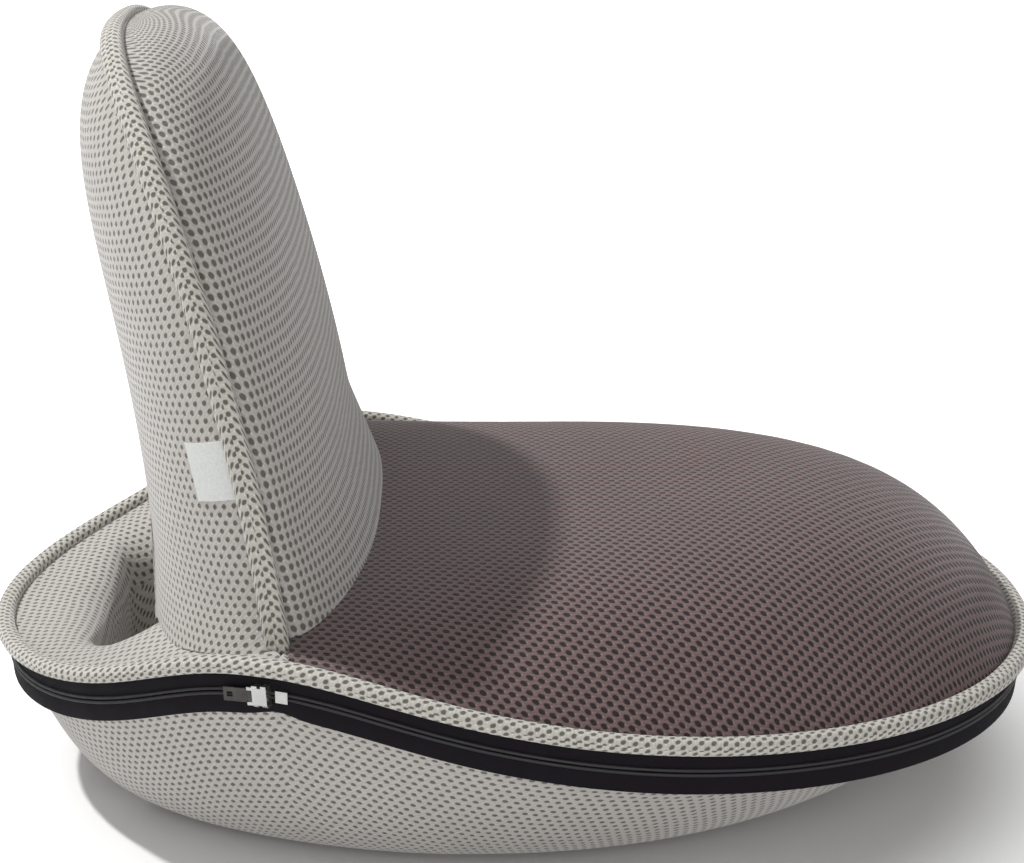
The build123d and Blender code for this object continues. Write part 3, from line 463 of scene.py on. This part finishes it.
def woven_tape(name):
    """Black twill zip tape."""
    material, tree, shader = node_tree(name)
    place = tree.nodes.new("ShaderNodeUVMap")
    place.uv_map = "weave"
    turned = tree.nodes.new("ShaderNodeMapping")
    turned.inputs["Rotation"].default_value = (0, 0, math.radians(38))
    tree.links.new(place.outputs[0], turned.inputs["Vector"])
    twill = tree.nodes.new("ShaderNodeTexWave")
    twill.inputs["Scale"].default_value = 520.0
    twill.inputs["Distortion"].default_value = 0.6
    tree.links.new(turned.outputs[0], twill.inputs["Vector"])
    broad = noise(tree, place.outputs[0], 35.0, 3.0)
    rib = math_node(tree, "MULTIPLY", twill.outputs["Fac"], 0.6)
    colour = mix_colour(tree, rib, (0.004, 0.003, 0.005), (0.011, 0.009, 0.012))
    colour = mix_colour(tree, ramp(tree, broad, 0.4, 0.8, 0.0, 0.4), colour, (0.016, 0.014, 0.018))
    tree.links.new(colour, shader.inputs["Base Color"])
    bump = tree.nodes.new("ShaderNodeBump")
    bump.inputs["Strength"].default_value = 0.4
    bump.inputs["Distance"].default_value = 0.0003
    tree.links.new(twill.outputs["Fac"], bump.inputs["Height"])
    tree.links.new(bump.outputs[0], shader.inputs["Normal"])
    tree.links.new(ramp(tree, broad, 0.3, 0.7, 0.7, 0.85), shader.inputs["Roughness"])
    shader.inputs["Specular IOR Level"].default_value = 0.12
    return material


def plain(name, low, high, roughness, metallic=0.0, scale=120.0, bump_height=0.0001):
    """A finish whose colour and roughness drift a little over the surface."""
    material, tree, shader = node_tree(name)
    place = tree.nodes.new("ShaderNodeTexCoord")
    broad = noise(tree, place.outputs["Object"], scale, 4.0)
    tree.links.new(mix_colour(tree, ramp(tree, broad, 0.3, 0.7), low, high), shader.inputs["Base Color"])
    uneven = ramp(tree, broad, 0.3, 0.7, roughness - 0.06, roughness + 0.06)
    tree.links.new(uneven, shader.inputs["Roughness"])
    bump = tree.nodes.new("ShaderNodeBump")
    bump.inputs["Strength"].default_value = 0.3
    bump.inputs["Distance"].default_value = bump_height
    tree.links.new(broad, bump.inputs["Height"])
    tree.links.new(bump.outputs[0], shader.inputs["Normal"])
    shader.inputs["Metallic"].default_value = metallic
    return material


# the hole colours stand for the lower layer seen through the mesh and for painted shade inside its holes
GREY = (0.50, 0.475, 0.445)
GREY_SHADE = (0.36, 0.34, 0.315)
GREY_LAYER_AND_HOLE_SHADE = (0.125, 0.115, 0.10)
MAUVE = (0.172, 0.116, 0.112)
MAUVE_SHADE = (0.088, 0.055, 0.054)
MAUVE_LAYER_AND_HOLE_SHADE = (0.014, 0.007, 0.008)
BINDING = (0.55, 0.53, 0.48)
BINDING_SHADE = (0.42, 0.40, 0.36)

front_mesh = spacer_mesh(
    "mesh_grey_front", GREY, GREY_SHADE, GREY_LAYER_AND_HOLE_SHADE, (0.0050, 0.0055), oval=1.25, hole_size=0.30
)
rear_mesh = spacer_mesh(
    "mesh_grey_rear", GREY, GREY_SHADE, GREY_LAYER_AND_HOLE_SHADE, (0.0054, 0.0040), stagger=True, hole_size=0.31
)
bowl_mesh = spacer_mesh(
    "mesh_grey_bowl", GREY, GREY_SHADE, GREY_LAYER_AND_HOLE_SHADE, (0.0054, 0.0042), stagger=True,
    hole_size=0.33, oval=0.85,
)
seat_mesh = spacer_mesh(
    "mesh_mauve", MAUVE, MAUVE_SHADE, MAUVE_LAYER_AND_HOLE_SHADE, (0.0046, 0.0056), turn=math.radians(38), stagger=True,
    hole_size=0.32, oval=1.35, sheen=0.22,
)
binding_mesh = spacer_mesh(
    "mesh_binding", BINDING, BINDING_SHADE, GREY_LAYER_AND_HOLE_SHADE, (0.0037, 0.0044), turn=math.radians(52),
    hole_size=0.27, oval=1.5,
)
tape_cloth = woven_tape("zip_tape")
coil_plastic = plain("zip_coil", (0.006, 0.005, 0.007), (0.011, 0.010, 0.013), 0.62)
nickel = plain("zip_nickel", (0.52, 0.52, 0.51), (0.62, 0.62, 0.60), 0.30, metallic=1.0)
dark_lacquer = plain("zip_tab", (0.030, 0.026, 0.026), (0.055, 0.048, 0.046), 0.38)
label_cloth = plain("label", (0.60, 0.61, 0.59), (0.68, 0.69, 0.67), 0.75, scale=900.0)
powder_coat = plain("powder_coat", (0.02, 0.02, 0.022), (0.035, 0.035, 0.038), 0.45, scale=700.0)
zinc = plain("zinc_plate", (0.50, 0.50, 0.51), (0.62, 0.62, 0.63), 0.35, metallic=1.0)
foam = plain("foam", (0.62, 0.55, 0.36), (0.72, 0.66, 0.46), 0.9, scale=500.0, bump_height=0.0006)


# ================================================================ base pieces
def dress(obj, material, body, slot, *nodes):
    obj.data.materials.clear()
    obj.data.materials.append(material)
    if nodes:
        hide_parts(*nodes)
    if body:
        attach(obj, body)
    return obj


COLUMNS = 320
angles, girth = even_angles(COLUMNS)
around = np.append(np.arange(COLUMNS), COLUMNS) / COLUMNS * girth


def rim_frame():
    """Points of the rim, and outward directions in plan."""
    x, y = outline(angles)
    dx, dy = np.roll(x, -1) - np.roll(x, 1), np.roll(y, -1) - np.roll(y, 1)
    size = np.hypot(dx, dy)
    return x, y, dy / size, -dx / size


rim_x, rim_y, out_x, out_y = rim_frame()
rim_z = rim_height(rim_y)
tape_middle = (ZIP_TOP + ZIP_BOTTOM) / 2
# the lower tape and the bowl are drawn up where the slider is parked
pucker = PUCKER_HEIGHT * np.exp(-(((rim_y - PUCKER_Y) / PUCKER_SPREAD) ** 2)) * (rim_x < 0)


def rim_sweep(name, profile, wrap_profile, flip=False):
    """Carries a profile of (outward, up) offsets from the rim all round."""
    offsets = np.array(profile)
    if wrap_profile:
        offsets = np.vstack([offsets, offsets[:1]])
    rows = []
    for out, up in offsets:
        drawn = np.clip((tape_middle - up) / (tape_middle - ZIP_BOTTOM), 0, 1) * pucker
        rows.append(np.stack([rim_x + out_x * out, rim_y + out_y * out, rim_z + up + drawn], -1))
    points = np.stack(rows)
    span = np.concatenate([[0], np.cumsum(np.hypot(*np.diff(offsets, axis=0).T))])
    uv = np.stack(np.broadcast_arrays(around[None, :], span[:, None]), -1)
    return surface(name, points, uv, wrap=True, flip=flip)


def oval_profile(out, up, half_out, half_up, count, power=2.0):
    turns = np.linspace(0, 2 * math.pi, count, endpoint=False)
    c, s = np.cos(turns), np.sin(turns)
    across = out + half_out * np.sign(c) * np.abs(c) ** (2 / power)
    height = up + half_up * np.sign(s) * np.abs(s) ** (2 / power)
    return list(zip(across, height))


piping_out = BULGE + PIPING_WIDTH / 2 - PIPING_SEWN_IN
cord = oval_profile(piping_out, 0.0003, PIPING_WIDTH / 2 + PIPING_FULLER, PIPING_HEIGHT / 2, 20, 2.3)
piping = rim_sweep("piping", cord, True)
weld(piping, 0.0001)
dress(piping, binding_mesh, "base", "mesh_binding", "rim_piping")

for name, high, low in (
    ("upper", ZIP_TOP + 0.0015, tape_middle + 0.0006), ("lower", tape_middle - 0.0006, ZIP_BOTTOM - 0.0015)
):
    face_out = BULGE - 0.0002
    steps = np.linspace(0, 1, 8)
    lean = TAPE_LEAN if name == "upper" else 0.0
    face = face_out + lean * (1 - steps) + TAPE_BOW * np.sin(math.pi * steps)
    profile = list(zip(face, high + (low - high) * steps))
    profile += [(out - TAPE_THICKNESS, up) for out, up in reversed(profile)]
    tape = rim_sweep(f"zip_tape_{name}_cloth", profile, True, flip=True)
    weld(tape, 0.00005)
    dress(tape, tape_cloth, "base", "zip_tape", f"zip_tape_{name}")

for name, side in (("upper", 1), ("lower", -1)):
    profile = oval_profile(BULGE + 0.0004, tape_middle + side * 0.0012, 0.0011, 0.0010, 8)
    coil = rim_sweep(f"zip_coil_{name}_turns", profile, True)
    weld(coil, 0.00005)
    dress(coil, coil_plastic, "base", "zip_coil", f"zip_coil_{name}")


def bowl_grid():
    """The bowl from the zip's lower edge to its flat bottom, as shares of the outline."""
    shares = 1 - np.linspace(0, 1, 64) ** 1.6
    shares = np.append(shares[shares > 0.05], 0.03)
    rows = []
    for share in shares:
        x, y = rim_x * share, BOWL_CENTRE_Y + (rim_y - BOWL_CENTRE_Y) * share
        rows.append(np.stack([x, y, bowl_height(x, y)], -1))
    points = np.stack(rows)
    # tucks in a little under the tape, and is gathered below the slider
    points[0, :, 2] += BOWL_TUCK
    fade = np.clip((shares - 0.80) / 0.20, 0, 1)[:, None] ** 2
    folds = 1 + 0.35 * np.cos(rim_y / PUCKER_FOLD * 2 * math.pi)
    points[..., 2] += fade * pucker * folds
    return points


points = bowl_grid()
down = run_length(points, 0)
gathered = np.broadcast_to(around * BOWL_GATHER, (len(points), COLUMNS + 1))
uv = np.stack([gathered, np.append(down, down[:, :1], 1)], -1)
bowl = surface("bowl_cover", points, uv, wrap=True, flip=False)
fill_holes(bowl, COLUMNS, FLOOR_ZONE)


def open_bowl(bm):
    """Cuts the grip opening out of the bowl, with its edge drawn onto the opening's outline."""
    for vert in bm.verts:
        x, y = vert.co.x, vert.co.y
        if vert.co.z > FLOOR_ZONE:
            continue
        distance = float(opening_distance(x, y, *FOOT))
        if abs(distance) < EDGE_REACH:
            core = math.copysign(min(abs(x), FOOT[0] - FOOT[1]), x)
            away = Vector((x - core, y - GRIP_Y))
            away = away.normalized() * FOOT[1]
            x, y = core + away.x, GRIP_Y + away.y
            vert.co = (x, y, float(bowl_height(np.array(x), np.array(y))))
    inside = []
    for face in bm.faces:
        middle = face.calc_center_median()
        if middle.z < FLOOR_ZONE and opening_distance(middle.x, middle.y, *FOOT) < -0.0004:
            inside.append(face)
    bmesh.ops.delete(bm, geom=inside, context="FACES")


edit(bowl, open_bowl)
dress(bowl, bowl_mesh, "base", "spacer_mesh_grey", "bottom_cover", "base_foam")


def seat_grid():
    """The crowned seat: its top from the middle to the rim, then back inside below."""
    shares = np.concatenate([[0.02], np.linspace(0.06, 0.8, 26), 1 - 0.2 * np.linspace(1, 0, 20)[1:] ** 1.5])
    top = []
    for share in shares:
        x, y = rim_x * share, WIDEST_Y + (rim_y - WIDEST_Y) * share
        top.append(np.stack([x, y, crown_height(x, y)], -1))
    for inset, drop in ((0.004, 0.004), (0.012, 0.007)):
        x, y = outline(angles, inset)
        top.append(np.stack([x, y, rim_z - drop], -1))
    for share in (0.8, 0.5, 0.02):
        x, y = rim_x * share, WIDEST_Y + (rim_y - WIDEST_Y) * share
        top.append(np.stack([x, y, np.minimum(rim_z - 0.007, SEAT_BASE_Z)], -1))
    return np.stack(top)


points = seat_grid()
plan = np.concatenate([points, points[:, :1]], 1)
# the weave lies flat on the top and runs down the sides
radial = run_length(points, 0)
radial = np.append(radial, radial[:, :1], 1)
from_middle = plan[..., :2] - np.array([0, WIDEST_Y])
radial = radial + np.linalg.norm(from_middle[:1], axis=-1)
direction = from_middle[SEAT_FLAT_ROW : SEAT_FLAT_ROW + 1]
direction = direction / np.linalg.norm(direction, axis=-1, keepdims=True)
uv = direction * radial[..., None]
seat = surface("seat_pad", points, uv, wrap=True, flip=True)
cut_behind(seat, SEAT_REAR_Y)
dress(seat, seat_mesh, "base", "spacer_mesh_mauve", "seat_cover", "seat_foam")


def ring_outer(angle):
    """From the opening's middle to the rim, or to the seat's seam in front."""
    table = rays(GRIP_Y)
    direction = np.where(angle < table[0][0], angle + 2 * math.pi, angle)
    direction = np.where(direction > table[0][-1], direction - 2 * math.pi, direction)
    to_rim = np.interp(direction, table[0], table[1])
    s = np.sin(angle)
    to_line = np.where(s < 0, (SEAT_REAR_Y - 0.0006 - GRIP_Y) / np.minimum(s, -1e-6), 9.0)
    return np.minimum(to_rim, to_line)


def under_back(x, y):
    """1 well inside the line where the backrest's rear panel meets the ring, 0 outside it."""
    side = (np.abs(x) / FOOT_HALF_WIDTH) ** 2.8
    behind = (np.maximum(y - FOOT_FRONT_Y, 0) / FOOT_REACH) ** 2.4
    inside = np.clip((0.97 - side - behind) / 0.22, 0, 1)
    return inside * inside * (3 - 2 * inside)


def ring_height(x, y, inward, room):
    """The ring's soft roll: pressed level under the backrest, and turning down into the opening.
    Inward runs from 0 at the rim to 1 at the mouth, and room is the distance between them."""
    top = crown_height(x, y)
    pressed = np.minimum(top, RING_LEVEL)
    under = under_back(x, y)
    top = top * (1 - under) + pressed * under
    reach = np.minimum(ROLL_REACH, ROLL_SHARE * room)
    near = np.clip(1 - (1 - inward) * room / reach, 0, 1)
    return top - ROLL_DROP * (1 - np.sqrt(np.maximum(1 - near**2.2, 0)))


TOP_ROWS = 41


def ring_piece():
    corner = math.atan2(SEAT_REAR_Y - GRIP_Y, SEAT_SEAM_HALF_WIDTH)
    sweep = np.linspace(corner, math.pi - corner, 261)
    front = np.linspace(math.pi - corner, 2 * math.pi + corner, 91)[1:-1]
    angle = np.concatenate([sweep, front])
    c, s = np.cos(angle), np.sin(angle)
    far, mouth = ring_outer(angle), stadium(angle, *MOUTH)
    rows = []
    # starts inside the piping, a little below the rim
    edge, edge_z = far - RING_EDGE_IN, rim_height(GRIP_Y + far * s) - RING_EDGE_DROP
    rows.append(np.stack([edge * c, GRIP_Y + edge * s, edge_z], -1))
    for t in 1 - (1 - np.linspace(0, 1, TOP_ROWS - 1)) ** 1.35:
        distance = far + (mouth - far) * t
        x, y = distance * c, GRIP_Y + distance * s
        rows.append(np.stack([x, y, ring_height(x, y, t, far - mouth)], -1))
    lip = rows[-1][:, 2]
    for t in np.append(0.006, np.linspace(0, 1, 30)[1:]):
        z = lip * (1 - t)
        above = np.clip((z - THROAT_Z) / (lip - THROAT_Z), 0, 1) ** 2.3
        below = np.clip((THROAT_Z - z) / THROAT_Z, 0, 1) ** 1.5
        half_width = THROAT[0] + (MOUTH[0] - THROAT[0]) * above + (FOOT[0] - THROAT[0]) * below
        half_depth = THROAT[1] + (MOUTH[1] - THROAT[1]) * above + (FOOT[1] - THROAT[1]) * below
        distance = stadium(angle, half_width, half_depth)
        x, y = distance * c, GRIP_Y + distance * s
        rows.append(np.stack([x, y, np.maximum(z, bowl_height(x, y) + 0.0002)], -1))
    return np.stack(rows)


points = ring_piece()
closed = np.concatenate([points, points[:, :1]], 1)
# the top is one panel stretched over the roll, and the lining is a strip sewn to it below
down = run_length(closed, 0)
turn = run_length(closed[TOP_ROWS : TOP_ROWS + 1], 1)
lining_map = np.stack([np.broadcast_to(turn, down.shape), down], -1)
middle = np.array([0, GRIP_Y])
outward = closed[:1, :, :2] - middle
outward = outward / np.linalg.norm(outward, axis=-1, keepdims=True)
reach = np.linalg.norm(closed[:1, :, :2] - middle, axis=-1)
panel_map = outward * (reach - 0.9 * down)[..., None]
uv = np.where(np.arange(len(closed))[:, None, None] < TOP_ROWS, panel_map, lining_map)
ring = surface("ring_pad", points, uv, wrap=True, flip=False)
dress(ring, rear_mesh, "base", "spacer_mesh_grey", "ring_cover", "ring_foam")


# ================================================================ backrest pieces
def section_angles(count, front):
    """Angles of a half section from the sitter's right seam to the left one."""
    turns = np.linspace(math.pi, 0, count)
    return turns if front else -turns


def half_section(share, turns):
    half_width, front, rear = back_size(share)
    along = share * BACK_LENGTH
    c, s = np.cos(turns), np.sin(turns)
    x = half_width * np.sign(c) * np.abs(c) ** (2 / SECTION_WIDTH_POWER)
    depth = np.where(s > 0, front, rear)
    forward = depth * np.sign(s) * np.abs(s) ** (2 / SECTION_DEPTH_POWER)
    return seam_point(along, forward, x)


SHARES = np.concatenate([np.linspace(0, 0.8, 34), 1 - 0.2 * np.linspace(1, 0, 22)[1:] ** 2.2])
SHARES = np.minimum(SHARES, 0.9995)


def panel_uv(points, flared=0):
    """Metres across from the middle column and up the middle, and down from the row where it flares."""
    across = run_length(points, 1)
    middle = points.shape[1] // 2
    across = across - across[:, middle : middle + 1]
    along = run_length(points, 0)
    up = np.broadcast_to(along[:, middle : middle + 1], across.shape).copy()
    up[:flared] = up[flared] - (along[flared] - along[:flared])
    across = across.copy()
    across[:flared] = across[flared]
    return np.stack([across, up], -1)


ARCH_ROW = 28  # of the front panel's rows
ARCH_GATHER = 0.6  # share of the panel's narrowing that its weave follows

turns = section_angles(96, True)
low_shares = np.linspace(-0.16, 0, 9)[:-1]
points = np.stack([half_section(share, turns) for share in np.concatenate([low_shares, SHARES])])
# the seam pulls the panel in beside the welt
from_seam = np.minimum(run_length(points, 1), run_length(points[:, ::-1], 1)[:, ::-1])
points[..., 0] -= np.sign(points[..., 0]) * SEAM_PULL * np.exp(-((from_seam / SEAM_PULL_REACH) ** 2))
weave = panel_uv(points)
# the weave's rows run level up to the row where the arch begins, and follow the dome above it
middle = len(turns) // 2
level = np.interp(points[..., 2], points[:, middle, 2], weave[:, middle, 1])
climbed = run_length(points, 0)
dome = climbed - climbed[ARCH_ROW] + level[ARCH_ROW]
weave[..., 1] = level
weave[ARCH_ROW:, :, 1] = dome[ARCH_ROW:]
narrowing = np.clip(weave[ARCH_ROW, -1, 0] / weave[:, -1:, 0], 1, 1.6)
weave[..., 0] *= 1 + ARCH_GATHER * (narrowing - 1)
front_pad = surface("back_pad_front", points, weave, flip=False)
fill_holes(front_pad)
dress(front_pad, front_mesh, "backrest", "spacer_mesh_grey", "back_cover_front", "back_foam_front")


def rear_rows(turns, first):
    """The rear panel's foot: it spreads onto the ring at the sides and tucks into the opening."""
    c, s = np.cos(turns), np.abs(np.sin(turns))
    x = FOOT_HALF_WIDTH * np.sign(c) * np.abs(c) ** (2 / 2.8)
    y = FOOT_FRONT_Y + FOOT_REACH * s ** (2 / 2.4)
    over = np.clip((TUCK_HALF_WIDTH - np.abs(x)) / TUCK_FADE, 0, 1)
    over = over * over * (3 - 2 * over)
    z = (np.minimum(crown_height(x, y), FOOT_LEVEL) - FOOT_SUNK) * (1 - over) + TUCK_Z * over
    foot = np.stack([x, y + TUCK_BACK * over, z], -1)
    low = half_section(first, turns)
    rows = []
    for t in np.linspace(0, 1, FOOT_ROWS + 1)[:-1]:
        spread = 1 - math.sin(t * math.pi / 2), 1 - math.cos(t * math.pi / 2)
        tuck = math.cos(t * math.pi / 2) ** 1.5, math.sin(t * math.pi / 2) ** 1.1
        out = spread[0] * (1 - over) + tuck[0] * over
        up = spread[1] * (1 - over) + tuck[1] * over
        row = low + (foot - low) * out[:, None]
        row[:, 2] = foot[:, 2] + (low[:, 2] - foot[:, 2]) * up
        rows.append(row)
    return rows


turns = section_angles(72, False)
upper_rows = [half_section(share, turns) for share in SHARES if share >= REAR_START]
points = np.stack(rear_rows(turns, REAR_START) + upper_rows)
rear_pad = surface("back_pad_rear", points, panel_uv(points, flared=FOOT_ROWS), flip=True)
fill_holes(rear_pad)
dress(rear_pad, rear_mesh, None, "spacer_mesh_grey", "back_cover_rear", "back_foam_rear")
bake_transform(rear_pad)


def welt_piece():
    """The flat doubled binding that covers the side seam all round the arch."""
    count = 220
    turn = np.linspace(0, math.pi, count)
    c, s = np.cos(turn), np.sin(turn)
    along = np.abs(s) ** (2 / BACK_ARCH) * BACK_LENGTH
    half_x = BACK_HALF_WIDTH * np.sign(c) * np.abs(c) ** (2 / BACK_ARCH)
    # outward in the arch's own plane
    centre_line = np.stack([half_x, along], -1)
    tangent = np.gradient(centre_line, axis=0)
    tangent /= np.linalg.norm(tangent, axis=1, keepdims=True)
    out = np.stack([tangent[:, 1], -tangent[:, 0]], -1)
    rows = []
    profile = oval_profile(0.0, 0.0, 1.0, 1.0, 20, 2.6)
    profile.append(profile[0])
    for a, b in profile:
        proud = -WELT_SEWN_IN + (WELT_PROUD + WELT_SEWN_IN) * (0.5 + 0.5 * a)
        depth = WELT_BREADTH / 2 * b - WELT_TOP_BACK * (along / BACK_LENGTH) ** 8
        x = half_x + out[:, 0] * proud
        up = along + out[:, 1] * proud
        rows.append(seam_point(up, depth, x))
    return np.stack(rows)


points = welt_piece()
length = run_length(points, 1)
span = run_length(points, 0)[:, :1]
uv = np.stack(np.broadcast_arrays(length, span), -1)
welt = surface("back_welt_binding", points, uv, flip=True)
weld(welt, 0.00005)
fill_holes(welt)
dress(welt, binding_mesh, "backrest", "mesh_binding", "back_welt")


# ================================================================ CAD pieces that stay
finishes = {
    "zip_metal": nickel, "zip_tab": dark_lacquer, "label_cloth": label_cloth, "foam": foam,
    "steel_tube": powder_coat, "hinge_steel": zinc, "zip_coil": coil_plastic, "zip_tape": tape_cloth,
}
slots = {row["node"]: row["material_slot"] for row in frame["record"]["subparts"]}
for node, obj in frame["nodes"].items():
    if slots[node] in finishes:
        obj.data.materials.clear()
        obj.data.materials.append(finishes[slots[node]])

# ================================================================ floor, light and camera
AMBIENT = 0.36  # strength of the surrounding light
FLOOR_GLOW = 0.45  # of the white floor beside the chair, for the camera only
NEAR_GLOW = (0.24, 0.34)  # distances over which the glow beside the chair sets in
FAR_GLOW = (0.45, 1.5)  # and over which it rises to white
FLOOR_HALF = 6.0
floor = bpy.data.objects.new("floor", bpy.data.meshes.new("floor"))
floor_corners = [(FLOOR_HALF * x, FLOOR_HALF * y, 0) for x, y in ((-1, -1), (1, -1), (1, 1), (-1, 1))]
floor.data.from_pydata(floor_corners, [], [(0, 1, 2, 3)])
bpy.context.scene.collection.objects.link(floor)
floor_paint = plain("floor", (0.86, 0.86, 0.86), (0.88, 0.88, 0.88), 0.8, scale=3.0)
floor_shader = next(n for n in floor_paint.node_tree.nodes if n.type == "BSDF_PRINCIPLED")
floor_seen = floor_paint.node_tree.nodes.new("ShaderNodeLightPath")
floor_shader.inputs["Emission Color"].default_value = (1.0, 1.0, 1.0, 1)
floor_place = floor_paint.node_tree.nodes.new("ShaderNodeTexCoord")
floor_length = floor_paint.node_tree.nodes.new("ShaderNodeVectorMath")
floor_length.operation = "LENGTH"
floor_paint.node_tree.links.new(floor_place.outputs["Object"], floor_length.inputs[0])
floor_near = ramp(floor_paint.node_tree, floor_length.outputs["Value"], *NEAR_GLOW, 0.0, FLOOR_GLOW)
floor_far = ramp(floor_paint.node_tree, floor_length.outputs["Value"], *FAR_GLOW, 0.0, 1.0 - FLOOR_GLOW)
floor_glow = math_node(floor_paint.node_tree, "ADD", floor_near, floor_far)
floor_glow = math_node(floor_paint.node_tree, "MULTIPLY", floor_seen.outputs["Is Camera Ray"], floor_glow)
floor_paint.node_tree.links.new(floor_glow, floor_shader.inputs["Emission Strength"])
floor.data.materials.append(floor_paint)


def area_light(name, place, target, size, power):
    light = bpy.data.lights.new(name, "AREA")
    light.shape = "DISK"
    light.size = size
    light.energy = power
    obj = bpy.data.objects.new(name, light)
    bpy.context.scene.collection.objects.link(obj)
    obj.location = place
    obj.rotation_euler = (Vector(target) - Vector(place)).to_track_quat("-Z", "Y").to_euler()


area_light("key", (0.38, 1.62, 2.42), (0, 0, 0.15), 0.13, 66)
area_light("fill", (-2.4, -0.2, 0.7), (0, 0, 0.10), 1.8, 19)
area_light("back", (2.0, 0.2, 1.8), (0, 0, 0.15), 1.8, 6)

world = bpy.data.worlds.new("studio")
bpy.context.scene.world = world
world.use_nodes = True
sky = world.node_tree.nodes["Background"]
sky.inputs[0].default_value = (1.0, 1.0, 1.0, 1)
seen = world.node_tree.nodes.new("ShaderNodeLightPath")
mirrored = math_node(
    world.node_tree, "MAXIMUM", seen.outputs["Is Glossy Ray"], seen.outputs["Is Transmission Ray"]
)
white = math_node(world.node_tree, "MAXIMUM", seen.outputs["Is Camera Ray"], mirrored)
strength = math_node(world.node_tree, "MULTIPLY_ADD", white, 1.0 - AMBIENT, AMBIENT)
world.node_tree.links.new(strength, sky.inputs[1])

TARGET = Vector((0, 0.001, 0.183))
AZIMUTH = math.radians(-91)
ELEVATION = math.radians(16)
DISTANCE = 1.5
FOCAL_PIXELS = 2700
IMAGE_WIDTH = 1024
SENSOR = 36.0
camera = bpy.data.objects.new("camera", bpy.data.cameras.new("camera"))
bpy.context.scene.collection.objects.link(camera)
level = math.cos(ELEVATION)
camera.location = TARGET + DISTANCE * Vector(
    (math.sin(AZIMUTH) * level, -math.cos(AZIMUTH) * level, math.sin(ELEVATION))
)
camera.rotation_euler = (TARGET - camera.location).to_track_quat("-Z", "Y").to_euler()
camera.data.sensor_width = SENSOR
camera.data.lens = FOCAL_PIXELS / IMAGE_WIDTH * SENSOR
camera.data.clip_start = 0.05
bpy.context.scene.camera = camera
bpy.context.scene.view_settings.view_transform = "Standard"
